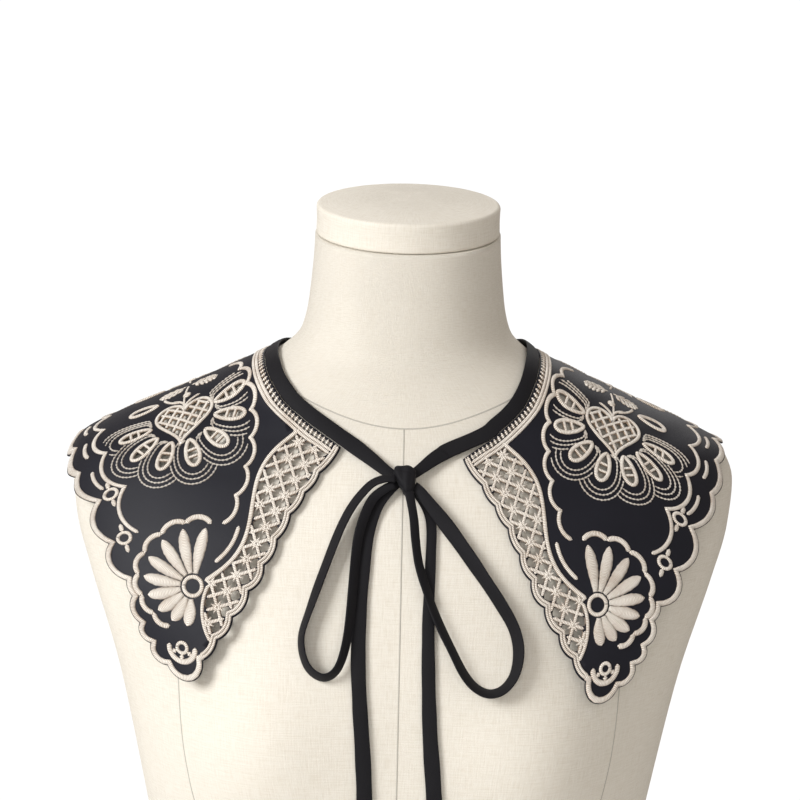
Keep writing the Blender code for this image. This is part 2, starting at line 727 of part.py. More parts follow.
def cap_frame():
    base = np.array(NECK_CAP["base"])
    up = np.array([0.0, -math.sin(NECK_CAP["tilt"]), math.cos(NECK_CAP["tilt"])])
    forward = np.array([0.0, -math.cos(NECK_CAP["tilt"]), -math.sin(NECK_CAP["tilt"])])
    return base, up, forward


def form_ring(height_of):
    """One ring of the form, at the height that height_of gives for each y."""
    turns = np.arange(FORM_SEGMENTS) * 2 * math.pi / FORM_SEGMENTS
    height = height_of(np.zeros(FORM_SEGMENTS))
    for _ in range(3):
        shape = {name: monotone(FORM_TABLE["height"], FORM_TABLE[name], height) for name in FORM_COLUMNS[1:]}
        start = np.stack([0 * height, (shape["back"] - shape["front"]) / 2, height], axis=-1)
        half_depth = (shape["back"] + shape["front"]) / 2
        direction = np.stack([shape["half_width"] * np.cos(turns), half_depth * np.sin(turns), 0 * turns], axis=-1)
        direction = direction / np.linalg.norm(direction, axis=1, keepdims=True)
        points = outermost(start, direction, 0.3, FORM_TABLE)
        height = height_of(points[:, 1])
    return points


def build_form_body(parts):
    rings = [form_ring(lambda y, z=z: np.full(len(y), z * MM)) for z in FORM_RING_HEIGHTS_MM]
    base, up, _ = cap_frame()
    seat = base - up * SEAM_GAP

    def seat_height(y):
        return seat[2] - (y - seat[1]) * up[1] / up[2]

    for share in (0.5, 1.0):
        rings.append(
            form_ring(lambda y, s=share: NECK_TILT_START + s * (seat_height(y) - NECK_TILT_START))
        )
    return solid_object("form_body", rings, (None, None), LINEN, parts)


def build_neck_cap(parts):
    base, up, forward = cap_frame()
    turns = np.arange(CAP_SEGMENTS) * 2 * math.pi / CAP_SEGMENTS
    edge = NECK_CAP["edge"]
    tall = NECK_CAP["thickness"]
    # Profile of the cap: how far the side is drawn in, and the height above its base.
    profile = [
        (0.6 * edge, 0.0),
        (0.0, 0.6 * edge),
        (0.0, tall - edge),
        (0.35 * edge, tall - 0.3 * edge),
        (1.2 * edge, tall),
        (9.0 * edge, tall + 0.6 * NECK_CAP["crown"]),
    ]
    rings = []
    for drawn_in, height in profile:
        rings.append(
            base
            + np.outer(np.cos(turns) * (NECK_CAP["half_width"] - drawn_in), [1.0, 0.0, 0.0])
            - np.outer(np.sin(turns) * (NECK_CAP["half_depth"] - drawn_in), forward)
            + height * up
        )
    crown = base + (tall + NECK_CAP["crown"]) * up
    return solid_object("form_neck_cap", rings, (None, crown), LINEN, parts)


def build_collar(name, side, parts):
    outline, openings, lines, raised = collar_pattern()
    flat, faces = flat_sheet(outline, openings, lines)
    neck = smooth_route(NECK_EDGE, NECK_STATIONS)
    lift = CLOTH_LIFT + NECK_LIFT * np.exp(-distance_to(neck, flat) / NECK_LIFT_FADE)
    points, normal = on_shoulders(flat * MM, side, lift)
    corners = points[faces]
    facing = np.cross(corners[:, 1] - corners[:, 0], corners[:, 2] - corners[:, 0])
    if (facing * normal[faces[:, 0]]).sum() < 0:
        faces = faces[:, ::-1]
    collar = new_object(name, points, faces, NAVY_SATIN, parts)
    group = collar.vertex_groups.new(name="raised stitching")
    share = relief(flat, openings, raised)
    group.add([int(k) for k in np.flatnonzero(share)], 1.0, "REPLACE")
    solid = thicken(collar, CLOTH_WALL + STITCH_RELIEF, 1.0)
    solid.vertex_group = group.name
    solid.thickness_vertex_group = CLOTH_WALL / (CLOTH_WALL + STITCH_RELIEF)
    return collar


def strip(name, centre, normal, widths, parts, clear_x=0.0):
    """A folded bias strip: three points across, thickened both ways."""
    step = np.gradient(centre, axis=0)
    side = np.cross(step, normal)
    side = side / np.linalg.norm(side, axis=1, keepdims=True)
    rows = [centre + side * widths[:, None] * share for share in (-0.5, 0.0, 0.5)]
    count = len(centre)
    points = np.vstack(rows)
    if clear_x > 0:
        points[:, 0] = np.maximum(points[:, 0], clear_x)
    if clear_x < 0:
        points[:, 0] = np.minimum(points[:, 0], clear_x)
    faces = [
        (k * count + j, k * count + j + 1, (k + 1) * count + j + 1, (k + 1) * count + j)
        for k in range(2)
        for j in range(count - 1)
    ]
    tie = new_object(name, points, faces, BLACK_CREPE, parts)
    thicken(tie, TIE_WALL, 0.0)
    return tie


def knot_frame():
    """The middle of the knot, and its directions across, off the chest and up along it."""
    middle, normal = on_chest(np.array([KNOT["x"]]), np.array([KNOT["z"]]), np.array([KNOT["lift"]]))
    across = np.array([1.0, 0.0, 0.0])
    up = np.cross(across, -normal[0])
    up = up / np.linalg.norm(up)
    return middle[0], np.stack([across, np.cross(across, up), up])


def in_knot(points, clear):
    """Whether points lie within the knot grown by the clearance."""
    middle, frame = knot_frame()
    away = np.abs((points - middle) @ frame.T) / (np.array(KNOT["size"]) + clear)
    return (away**KNOT_POWER).sum(axis=1) < 1


def tie_route(rows, count):
    """The stretch of a tie that shows outside the knot: centre line, normals and widths."""
    fine = smooth_route(rows, 400)
    x, z, _, lift = fine.T * MM
    centre, _ = on_chest(x, z, lift)
    route = smooth_route(fine[~in_knot(centre, KNOT["clear"])], count)
    x, z, width, lift = route.T * MM
    centre, normal = on_chest(x, z, lift)
    return centre, normal, width


def up_the_neck(seam, side, distance):
    """Pattern points the given distance up the neck, square to the seam line on the form."""
    def laid(points):
        return on_shoulders(points * MM, side, np.zeros(points.shape[:-1]))[0]

    small = 0.5
    by_across = laid(seam + [small, 0.0]) - laid(seam - [small, 0.0])
    by_along = laid(seam + [0.0, small]) - laid(seam - [0.0, small])
    run = np.gradient(seam, axis=0)
    tangent = run[:, :1] * by_across + run[:, 1:] * by_along
    inward = np.stack([(by_along * tangent).sum(axis=1), -(by_across * tangent).sum(axis=1)], axis=-1)
    inward = inward / np.linalg.norm(inward, axis=1, keepdims=True)
    neckward = beside(seam, -1.0) - seam
    inward = inward * np.sign((inward * neckward).sum(axis=1))[:, None]
    reach = np.linspace(0.0, 12.0, 49)
    trail = laid(seam[None] + reach[:, None, None] * inward[None])
    walked = np.cumsum(np.linalg.norm(np.diff(trail, axis=0), axis=2), axis=0)
    walked = np.vstack([np.zeros((1, len(seam))), walked])
    needed = [np.interp(distance, walked[:, k], reach) for k in range(len(seam))]
    return seam + inward * np.array(needed)[:, None]


def build_binding(name, side, lead, parts):
    seam = smooth_route(NECK_EDGE, NECK_STATIONS)
    middle = up_the_neck(seam, side, BINDING_WIDTH / 2 + BINDING_SEAM)[::-1]
    neck, neck_normal = on_shoulders(middle * MM, side, np.full(len(middle), BINDING_LIFT))
    front, front_normal, front_width = tie_route(lead, 7)
    centre = np.vstack([neck[:-1], front])
    normal = np.vstack([neck_normal[:-1], front_normal])
    width = np.concatenate([np.full(len(neck) - 1, BINDING_WIDTH), front_width])
    return strip(name, centre, normal, width, parts, clear_x=side * BACK_SEAM_INSET * MM)


def build_knot(parts):
    middle, frame = knot_frame()
    wide, deep, tall = KNOT["size"]
    turns = np.arange(14) * 2 * math.pi / 14
    rings = []
    for share in (-0.86, -0.5, 0.0, 0.5, 0.86):
        girth = (1 - abs(share) ** KNOT_POWER) ** (1 / KNOT_POWER)
        flat = [wide * girth * np.cos(turns), -deep * girth * np.sin(turns), np.full(14, tall * share)]
        rings.append(middle + np.stack(flat, axis=-1) @ frame)
    ends = [middle + tall * share * frame[2] for share in (-1.0, 1.0)]
    return solid_object("tie_knot", rings, (ends[0], ends[1]), BLACK_CREPE, parts)


def main():
    clear_scene()
    parts = bpy.data.collections.new("collar scarf")
    bpy.context.scene.collection.children.link(parts)
    build_form_body(parts)
    build_neck_cap(parts)
    build_collar("collar_left", -1, parts)
    build_collar("collar_right", 1, parts)
    build_binding("binding_left", -1, LEAD_LEFT, parts)
    build_binding("binding_right", 1, LEAD_RIGHT, parts)
    build_knot(parts)
    for name, rows, count in (
        ("tie_loop_left", LOOP_LEFT, 40),
        ("tie_loop_right", LOOP_RIGHT, 42),
        ("tie_tail_left", TAIL_LEFT, 24),
        ("tie_tail_right", TAIL_RIGHT, 24),
    ):
        centre, normal, width = tie_route(rows, count)
        strip(name, centre, normal, width, parts)


main()
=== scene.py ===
import math

import bpy
import numpy as np
from mathutils import Matrix, Vector
from mathutils.geometry import delaunay_2d_cdt


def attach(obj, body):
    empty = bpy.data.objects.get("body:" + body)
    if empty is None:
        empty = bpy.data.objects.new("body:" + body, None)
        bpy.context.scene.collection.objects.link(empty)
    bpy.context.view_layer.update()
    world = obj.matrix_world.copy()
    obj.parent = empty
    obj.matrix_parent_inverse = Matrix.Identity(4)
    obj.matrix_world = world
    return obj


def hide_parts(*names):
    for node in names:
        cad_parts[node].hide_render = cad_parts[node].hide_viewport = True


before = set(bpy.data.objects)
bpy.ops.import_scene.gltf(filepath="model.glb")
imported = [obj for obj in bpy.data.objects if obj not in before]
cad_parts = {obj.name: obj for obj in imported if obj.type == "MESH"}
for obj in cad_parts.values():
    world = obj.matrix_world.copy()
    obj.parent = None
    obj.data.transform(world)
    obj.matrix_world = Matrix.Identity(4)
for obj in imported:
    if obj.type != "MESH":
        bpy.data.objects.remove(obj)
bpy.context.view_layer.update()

mm = 0.001
randomDraws = np.random.default_rng(7)


# Shader expressions.

class Wire:
    # One output socket. Each operator adds a Math node.
    def __init__(self, look, socket):
        self.look, self.socket = look, socket

    def math(self, operation, first, second=0.0):
        return self.look.node("ShaderNodeMath", {"operation": operation}, {0: first, 1: second})

    def __add__(self, other): return self.math("ADD", self, other)
    def __sub__(self, other): return self.math("SUBTRACT", self, other)
    def __rsub__(self, other): return self.math("SUBTRACT", other, self)
    def __mul__(self, other): return self.math("MULTIPLY", self, other)
    __radd__ = __add__
    __rmul__ = __mul__

    def sine(self): return self.math("SINE", self)
    def absolute(self): return self.math("ABSOLUTE", self)


class Look:
    # A material. node() adds any other node: its settings first, then its sockets.
    def __init__(self, name):
        self.material = bpy.data.materials.new(name)
        self.material.use_nodes = True
        self.tree = self.material.node_tree
        self.shader = self.tree.nodes["Principled BSDF"]

    def plug(self, socket, value):
        if isinstance(value, Wire):
            self.tree.links.new(value.socket, socket)
        else:
            socket.default_value = value

    def node(self, kind, settings=None, sockets=None, output=0):
        made = self.tree.nodes.new(kind)
        for name, value in (settings or {}).items():
            setattr(made, name, value)
        for key, value in (sockets or {}).items():
            self.plug(made.inputs[key], value)
        return Wire(self, made.outputs[output])

    def blend(self, share, first, second):
        return self.node("ShaderNodeMix", {"data_type": "RGBA"}, {0: share, 6: first, 7: second}, 2)

    def noise(self, place, scale, detail=2.0, roughness=0.5):
        return self.node("ShaderNodeTexNoise", {}, {"Vector": place, "Scale": scale, "Detail": detail,
                                                    "Roughness": roughness})

    def place(self, kind, stretch=(1.0, 1.0, 1.0), turn=(0.0, 0.0, 0.0)):
        source = self.node("ShaderNodeTexCoord", {}, {}, {"Object": 3, "UV": 2}[kind])
        return self.node("ShaderNodeMapping", {}, {"Vector": source, "Scale": stretch, "Rotation": turn})

    def axis(self, place, which):
        return self.node("ShaderNodeSeparateXYZ", {}, {0: place}, "XYZ".index(which))

    def bump(self, height, distance, strength=1.0):
        return self.node("ShaderNodeBump", {}, {"Height": height, "Distance": distance, "Strength": strength})

    def shade(self, **values):
        for name, value in values.items():
            self.plug(self.shader.inputs[name.replace("_", " ")], value)
        return self.material


# The form and the surface that carries the cloth.

form = {
    "columns": ("height", "halfWidth", "front", "back", "fullness"),
    "sections": [
        (0.000, 0.150, 0.098, 0.112, 2.20), (0.050, 0.168, 0.108, 0.126, 2.20),
        (0.110, 0.163, 0.108, 0.122, 2.20), (0.170, 0.137, 0.098, 0.100, 2.15),
        (0.225, 0.120, 0.090, 0.082, 2.10), (0.290, 0.129, 0.096, 0.084, 2.15),
        (0.350, 0.143, 0.107, 0.092, 2.20), (0.400, 0.153, 0.113, 0.100, 2.25),
        (0.450, 0.165, 0.111, 0.108, 2.25), (0.500, 0.182, 0.100, 0.113, 2.20),
        (0.530, 0.191, 0.088, 0.112, 2.15), (0.555, 0.194, 0.074, 0.109, 2.10),
        (0.570, 0.189, 0.064, 0.104, 2.05), (0.585, 0.165, 0.055, 0.097, 1.95),
        (0.600, 0.131, 0.0495, 0.0895, 1.90), (0.615, 0.098, 0.0475, 0.0815, 1.90),
        (0.628, 0.072, 0.0475, 0.0745, 1.95), (0.640, 0.0605, 0.0490, 0.0685, 2.00),
        (0.660, 0.0560, 0.0520, 0.0610, 2.05), (0.700, 0.0530, 0.0575, 0.0525, 2.10),
        (0.730, 0.0530, 0.0600, 0.0500, 2.10),
    ],
    # Half width and fullness of the cloth's bridge over the shoulder tips, up to each height.
    "bridge": [(0.450, 0.205, 2.25), (0.500, 0.204, 2.50), (0.530, 0.202, 2.40),
               (0.555, 0.198, 2.30), (0.570, 0.191, 2.20), (0.585, 0.165, 2.10)],
    "bridgeTop": 0.600,
    "chestRise": 0.013, "chestApart": 0.080, "chestHeight": 0.418, "chestWidth": 0.042, "chestDepth": 0.048,
    "segments": 240, "ringStep": 0.003, "tiltStart": 0.660,
    "hemRound": 0.0012, "seamGap": 0.0003,
}
cap = {"base": (0.0, -0.0006, 0.6964), "tilt": math.radians(10.0), "halfWidth": 0.0525, "halfDepth": 0.0545,
       "thickness": 0.0169, "crown": 0.004, "edge": 0.002, "segments": 160}
chart = {"y": 0.008, "z": 0.500, "reference": 0.120, "reach": 0.240, "widest": 215.0, "back": -190.0,
         "front": 216.0, "step": 1.0, "rays": 601, "swing": 150.0}


def smoothStep(values):
    t = np.clip(values, 0.0, 1.0)
    return t * t * (3.0 - 2.0 * t)


def turnsOf(count):
    # Even turns round a circle, in radians.
    return np.arange(count) * 2 * math.pi / count


def unit(vectors):
    return vectors / np.linalg.norm(vectors, axis=-1, keepdims=True)


def walkedAlong(line):
    # How far along the line each of its places is.
    return np.concatenate([[0], np.cumsum(np.linalg.norm(np.diff(line, axis=0), axis=1))])


def monotone(stations, values, at):
    # Cubic through the stations, with each slope the harmonic mean of its neighbours' rates.
    at = np.clip(at, stations[0], stations[-1])
    step = np.diff(stations)
    rate = np.diff(values) / step
    slope = np.concatenate([rate[:1], np.zeros(len(rate) - 1), rate[-1:]])
    left, right = 2 * step[1:] + step[:-1], step[1:] + 2 * step[:-1]
    sameWay = rate[:-1] * rate[1:] > 0
    before, after = np.where(sameWay, rate[:-1], 1.0), np.where(sameWay, rate[1:], 1.0)
    slope[1:-1] = np.where(sameWay, (left + right) / (left / before + right / after), 0.0)
    i = np.clip(np.searchsorted(stations, at) - 1, 0, len(step) - 1)
    t = (at - stations[i]) / step[i]
    start = values[i] * (1 + 2 * t) + slope[i] * step[i] * t
    end = values[i + 1] * (3 - 2 * t) - slope[i + 1] * step[i] * (1 - t)
    return start * (1 - t) ** 2 + end * t**2


def sectionTable(bridged):
    table = dict(zip(form["columns"], np.array(form["sections"]).T))
    if bridged:
        heights, halfWidth, fullness = np.array(form["bridge"]).T
        low = table["height"] < form["bridgeTop"]
        for name, wide in (("halfWidth", halfWidth), ("fullness", fullness)):
            wider = np.maximum(np.interp(table["height"], heights, wide), table[name])
            table[name] = np.where(low, wider, table[name])
    return table


formTable, bridgeTable = sectionTable(False), sectionTable(True)


def outside(points, table):
    # Superellipse |x/a|^n + |y/b|^n = 1 in each level section, with a Gaussian mound pushed out
    # on each side of the chest. Below 0 inside, above 0 outside.
    x, y, z = points[..., 0], points[..., 1], points[..., 2]
    halfWidth, front, back, power = (monotone(table["height"], table[name], z) for name in form["columns"][1:])
    middle, halfDepth = (back - front) / 2, (back + front) / 2
    across = (np.abs(x) - form["chestApart"]) / form["chestWidth"]
    up = (z - form["chestHeight"]) / form["chestDepth"]
    y = y + form["chestRise"] * np.exp(-(across**2) - up**2) * smoothStep((middle - y) / halfDepth)
    return (np.abs(x / halfWidth) ** power + np.abs((y - middle) / halfDepth) ** power) ** (1 / power) - 1


search = {"steps": 61, "halvings": 22}


def outermost(start, direction, reach, table):
    # Where each ray last leaves the surface: coarse steps, then halving.
    steps = np.linspace(0.0, reach, search["steps"])
    inside = np.array([outside(start + direction * far, table) < 0 for far in steps])
    low = steps[len(steps) - 1 - np.argmax(inside[::-1], axis=0)]
    high = low + steps[1]
    for _ in range(search["halvings"]):
        middle = (low + high) / 2
        within = outside(start + direction * middle[..., None], table) < 0
        low, high = np.where(within, middle, low), np.where(within, high, middle)
    return start + direction * low[..., None]


def normalsAt(points, table):
    h = 0.0001
    ahead = [outside(points + h * a, table) - outside(points - h * a, table) for a in np.eye(3)]
    return unit(np.stack(ahead, axis=-1))


def overCrest(across, turn):
    # Rays from (x, y, z) of the chart's axis, turned forwards by the angle.
    start = np.stack([across, np.full_like(across, chart["y"]), np.full_like(across, chart["z"])], axis=-1)
    direction = np.stack([np.zeros_like(turn), -np.sin(turn), np.cos(turn)], axis=-1)
    return outermost(start, direction, chart["reach"], bridgeTable)


def buildChart():
    # Points and normals of the carrying surface on a grid of pattern places, one step apart.
    turns = np.radians(np.linspace(-chart["swing"], chart["swing"], chart["rays"]))
    walk = overCrest(np.full(chart["rays"], chart["reference"]), turns)
    walked = walkedAlong(walk)
    walked = (walked - walked[np.argmax(walk[:, 2])]) / mm
    across = np.arange(0.0, chart["widest"], chart["step"])
    along = np.arange(chart["back"], chart["front"], chart["step"])
    x, turn = np.meshgrid(across * mm, np.interp(along, walked, turns))
    points = overCrest(x, turn)
    return np.concatenate([points, normalsAt(points, bridgeTable)], axis=-1)


chartGrid = buildChart()
print("chart of the shoulders ready")

# The right half is drawn in and down on the front by the tie, and slips more at its outer edge.
pull = {"share": 0.055, "drop": 5.0, "from": -80.0, "to": 40.0, "slip": 9.0, "slipFrom": 130.0, "slipOver": 50.0}


def laid(pattern, side, lift):
    # Pattern places in mm to points in metres: bilinear in the chart, plus lift mm along the normal.
    across, along = pattern[..., 0], pattern[..., 1]
    if side > 0:
        share = smoothStep((along - pull["from"]) / (pull["to"] - pull["from"]))
        slip = smoothStep((across - pull["slipFrom"]) / pull["slipOver"])
        across = across * (1 - pull["share"] * share)
        along = along + (pull["drop"] + pull["slip"] * slip) * share
    high, wide = chartGrid.shape[0] - 1.001, chartGrid.shape[1] - 1.001
    a = np.clip(np.abs(across) / chart["step"], 0, wide)
    b = np.clip((along - chart["back"]) / chart["step"], 0, high)
    i, j = a.astype(int), b.astype(int)
    s, t = (a - i)[..., None], (b - j)[..., None]
    found = (chartGrid[j, i] * (1 - s) + chartGrid[j, i + 1] * s) * (1 - t)
    found = found + (chartGrid[j + 1, i] * (1 - s) + chartGrid[j + 1, i + 1] * s) * t
    flip = np.where(across < 0, -side, side)[..., None] * np.array([1.0, 0, 0]) + np.array([0, 1.0, 1.0])
    point, normal = found[..., :3] * flip, found[..., 3:] * flip
    normal = unit(normal)
    return point + normal * (np.asarray(lift) * mm)[..., None], normal


def onChest(x, z, lift):
    start = np.stack([x, np.zeros_like(x), z], axis=-1)
    surface = outermost(start, np.array([0.0, -1.0, 0.0]), 0.2, formTable)
    normal = normalsAt(surface, formTable)
    return surface + normal * lift[:, None], normal


# Lines on the flat cloth.

def smoothRoute(rows, count):
    # Evenly spaced places on a Catmull-Rom curve through the rows.
    rows = np.asarray(rows, float)
    padded = np.vstack([2 * rows[0] - rows[1], rows, 2 * rows[-1] - rows[-2]])
    a, b, c, d = padded[:-3, None], padded[1:-2, None], padded[2:-1, None], padded[3:, None]
    t = np.linspace(0, 1, 13)[:-1, None]
    fine = 0.5 * (2 * b + (c - a) * t + (2 * a - 5 * b + 4 * c - d) * t**2 + (3 * b - a - 3 * c + d) * t**3)
    fine = np.vstack([fine.reshape(-1, rows.shape[1]), rows[-1:]])
    return evenly(fine, count)


def evenly(line, count):
    walked = np.concatenate([[0], np.cumsum(np.linalg.norm(np.diff(line[:, :2], axis=0), axis=1))])
    even = np.linspace(0, walked[-1], count)
    return np.stack([np.interp(even, walked, line[:, k]) for k in range(line.shape[1])], axis=-1)


def lengthOf(line):
    return np.linalg.norm(np.diff(line, axis=0), axis=1).sum()


def curve(rows, spacing=1.1):
    # A smooth open line through the rows, about one place for each spacing.
    rows = np.asarray(rows, float)
    if len(rows) == 2:
        return evenly(rows, max(3, int(lengthOf(rows) / spacing)))
    return smoothRoute(rows, max(4, int(lengthOf(rows) / spacing)))


def leftward(way):
    return np.array([-way[1], way[0]], float)


def arcOf(share):
    # The radius, in chords, and half the turn of an arc that rises by a share of its chord.
    radius = (0.25 + share**2) / (2 * share)
    return radius, math.asin(0.5 / radius)


def scalloped(cusps, spacing=1.1):
    # Circular arcs between the cusps, bulging left by the bulge's share of each chord.
    lines = []
    for (u0, v0, bulge), (u1, v1, _) in zip(cusps, cusps[1:]):
        chord = np.array([u1 - u0, v1 - v0])
        radius, halfTurn = arcOf(bulge)
        length = np.linalg.norm(chord) * abs(2 * radius * halfTurn)
        turn = np.linspace(-halfTurn, halfTurn, max(4, int(length / spacing)) + 1)[:-1, None]
        rise = radius * (np.cos(turn) - math.cos(halfTurn))
        lines.append([u0, v0] + chord * (0.5 + radius * np.sin(turn)) + leftward(chord) * rise)
    return np.vstack(lines + [np.array([cusps[-1][:2]], float)])


def leftOf(points, closed):
    before = points - np.roll(points, 1, axis=0)
    after = np.roll(points, -1, axis=0) - points
    if not closed:
        before[0], after[-1] = after[0], before[-1]
    before = before / np.maximum(np.linalg.norm(before, axis=1, keepdims=True), 1e-9)
    after = after / np.maximum(np.linalg.norm(after, axis=1, keepdims=True), 1e-9)
    both = before + after
    left = np.stack([-both[:, 1], both[:, 0]], axis=-1)
    length = np.maximum(np.linalg.norm(left, axis=1, keepdims=True), 1e-9)
    return left / length, np.minimum(2 / length, 1.5)


def beside(points, distance, closed=False):
    # The line moved to its left, with mitred corners.
    left, stretch = leftOf(points, closed)
    return points + left * distance * stretch


def contains(loop, points):
    found = np.zeros(len(points), bool)
    for (u0, v0), (u1, v1) in zip(loop, np.roll(loop, -1, axis=0)):
        if v0 != v1:
            spans = (v0 > points[:, 1]) != (v1 > points[:, 1])
            found ^= spans & (points[:, 0] < (u1 - u0) * (points[:, 1] - v0) / (v1 - v0) + u0)
    return found


def distanceTo(line, points):
    nearest = np.full(len(points), np.inf)
    for a, b in zip(line, line[1:]):
        t = np.clip((points - a) @ (b - a) / max((b - a) @ (b - a), 1e-12), 0, 1)
        nearest = np.minimum(nearest, np.linalg.norm(points - a - t[:, None] * (b - a), axis=1))
    return nearest


def circle(centre, radius, count=28):
    turn = turnsOf(count)
    return np.array(centre) + radius * np.stack([np.cos(turn), np.sin(turn)], axis=-1)


def runsInside(line, keep):
    # The stretches of a line whose places are all kept.
    marks = np.flatnonzero(np.diff(np.concatenate([[False], keep, [False]]).astype(int)))
    return [line[a:b] for a, b in zip(marks[::2], marks[1::2]) if b - a > 2]


def mirroredBack(rows, shift=20.0):
    # A front motif again behind the crest.
    rows = np.array(rows, float)
    rows[:, 1] = shift - rows[:, 1]
    return rows


def arcOver(start, end, sagitta, count=6):
    # Places along a circular arc that bulges to the left of its way by the sagitta.
    start, chord = np.array(start, float), np.subtract(end, start)
    radius, half = arcOf(sagitta / np.linalg.norm(chord))
    turn = np.linspace(-half, half, count + 1)
    rise = radius * (np.cos(turn) - math.cos(half))
    return start + chord * (0.5 + radius * np.sin(turn))[:, None] + leftward(chord) * rise[:, None]


def onRay(centre, degrees, radius):
    # The place at a direction, counted from straight out, and a radius.
    turn = math.radians(degrees)
    return centre[0] + radius * math.cos(turn), centre[1] + radius * math.sin(turn)


def withBulge(places, bulge):
    return [(u, v, bulge) for u, v in places]


def closedEvenly(loop, spacing=1.0):
    # The closed line in even steps, without its first place again at the end.
    loop = np.vstack([loop, loop[:1]])
    return evenly(loop, max(8, int(lengthOf(loop) / spacing)))[:-1]


def teardrop(base, tip, halfWidth, count=40):
    # Along goes as half of one minus the cosine of the turn, and the width as its sine, a
    # little wider towards the tip.
    turn = turnsOf(count)
    along = 0.5 - 0.5 * np.cos(turn)
    way = np.subtract(tip, base)
    side = leftward(way) / np.linalg.norm(way)
    wide = halfWidth * np.sin(turn) * (0.75 + 0.35 * along)
    return np.array(base) + along[:, None] * way + wide[:, None] * side


def heartShape(centre, size, stretch, count=72):
    # The heart curve. Across is 16 times the sine cubed; along is minus 13 cosines of the turn,
    # plus 5 of twice, 2 of three times and 1 of four times the turn.
    t = turnsOf(count)
    along = -13 * np.cos(t) + 5 * np.cos(2 * t) + 2 * np.cos(3 * t) + np.cos(4 * t)
    return np.array(centre) + size * np.stack([16 * np.sin(t)**3, stretch * along], axis=-1)


# The cut of one half, from the front corner of the neck. Hem: across, along and bulge.
cut = {
    "neck": [(34.6, 79.6), (43, 73.8), (51, 68.6), (59, 62.2), (67, 54.6), (73.5, 45.6), (78, 35), (80.2, 22),
             (80, 8), (77.6, -6), (72.4, -20), (63, -34), (50, -46), (34, -54.6), (17, -59), (0, -60)],
    "hem": [(34.6, 79.6, .06), (45.5, 93, .10), (53, 103.6, .10), (60.5, 114.8, .10), (67.2, 127.6, .13),
            (73.8, 140.6, .17), (81.6, 153.8, .15), (90, 167, .15), (97.8, 178.8, .12), (105.5, 190, .43),
            (125, 197, .27), (135, 187, .25), (141.5, 176.5, .20), (146.3, 161.3, .10), (150, 152.4, .24),
            (161.5, 129, .20), (171.5, 97, .15), (185.5, 65, .11), (190.5, 33, .12), (190.5, -1, .14),
            (187, -36, .16), (177, -68, .20), (159, -97, .23), (134, -122, .25), (105, -141, .26),
            (77.5, -154, .26), (51, -163, .26), (25.5, -168, .26), (0, -169.5, .25)],
    "frontCusps": 9,
    "seamInset": 0.2,
    "netFoot": {"start": (104, 151.5), "end": (101.5, 180), "sagitta": -4.0},
}
# Satin lines, worked out from the hem and from arcs. Cusps are numbered along the hem.
satinLines = {
    "inner": {"firstCusp": 15, "inset": 18.0, "bulge": 0.21},
    "field": {"start": (102, 8), "end": (98, 119), "sagitta": 15.0, "scallops": 7, "bulge": 0.22},
    "net": {"start": (58, 69.5), "end": (106, 149.5), "swing": 7.0, "count": 18},
    # A second line beside the end of the net's, and short ones outside some inner scallops.
    "hook": {"from": 0.62, "to": 0.90, "beside": 5.2},
    "companions": {"scallops": (1, 2, 3), "beside": 5.2, "share": 0.28},
    # Rings inside two cusps of the hem with a bar both ways along it, and one at the point.
    "wheels": {"cusps": (15, 16), "inset": 9.5, "hole": 2.6, "rim": 4.7, "bars": (-72, 108),
               "barEnds": (4.4, 10.0), "barWidth": 2.4},
    "tip": {"centre": (117, 185.5), "hole": 1.75, "rim": 3.7, "bars": (30, 90, 150), "barEnds": (3.4, 6.2),
            "barWidth": 2.6, "arc": 7.2, "turns": (-10, 190), "places": 13, "arcWidth": 2.9},
    "width": 2.3, "footWidth": 2.0, "companionWidth": 2.2,
}
net = {"cell": (76.4, 125.4), "step": (6.95, 2.25), "rise": (-2.0, 6.0), "open": 0.72, "bar": 1.8, "barHeight": 0.55,
       "tooth": 3.7, "toothWidth": 1.9, "toothHeight": 0.8, "toothShape": (1.0, 1.0, 0.9, 0.7, 0.42, 0.12)}
heart = {
    "centre": (124.5, 49.0), "size": 1.0, "stretch": 1.15,
    "cell": (112, 50.8), "step": (4.7, -3.6), "rise": (1.9, 5.2), "open": 0.68, "bar": 1.7,
    # Loop petals fanned round the heart in equal steps: directions in degrees from straight out,
    # and how far from the heart's centre each loop, and the slot in it, begin and end.
    "fan": {"petals": 7, "from": 10.0, "to": 200.0, "loop": (17.6, 37.4), "slot": (20.5, 35.0),
            "halfWidth": 5.2},
    "ring": 2.3, "slotBars": (0.36, 0.67), "slotBar": 1.6,
    # Running-stitch shells round the petals: how far out beside and past each petal, and how far
    # they keep from the satin lines. Each petal's shells pass under the next one's.
    "beside": (3.2, 5.0, 6.8), "past": (4.6, 7.6, 10.6), "clear": 2.6,
    "stitch": 2.2, "stitchWidth": 1.2, "stitchHeight": 0.7, "stitchStep": 0.4, "swell": 0.30,
    "bud": [(124.5, 23.5), (124.5, 28.5)], "budWidth": 5.0,
    # Stem and calyx arcs: start, end and sagitta.
    "stem": [((124.5, 42.5), (124.5, 13.5), 1.2)],
    "calyx": [((116.5, 30.0), (124.5, 40.0), -2.2), ((132.5, 30.0), (124.5, 40.0), 2.2),
              ((127.5, 33.0), (138.0, 22.0), 2.0)],
    "stemWidth": 1.3, "calyxWidth": 1.7, "rimWidth": 2.0, "slotBarWidth": 1.5,
    "leafRing": {"base": (140.5, 27.0), "tip": (158.5, 27.0), "halfWidth": 5.8}, "leafRingWidth": 2.9,
    "feathers": [((123.0, 12.5), (108.0, 18.0), 5), ((126.0, 12.5), (141.0, 18.0), 5)],
}
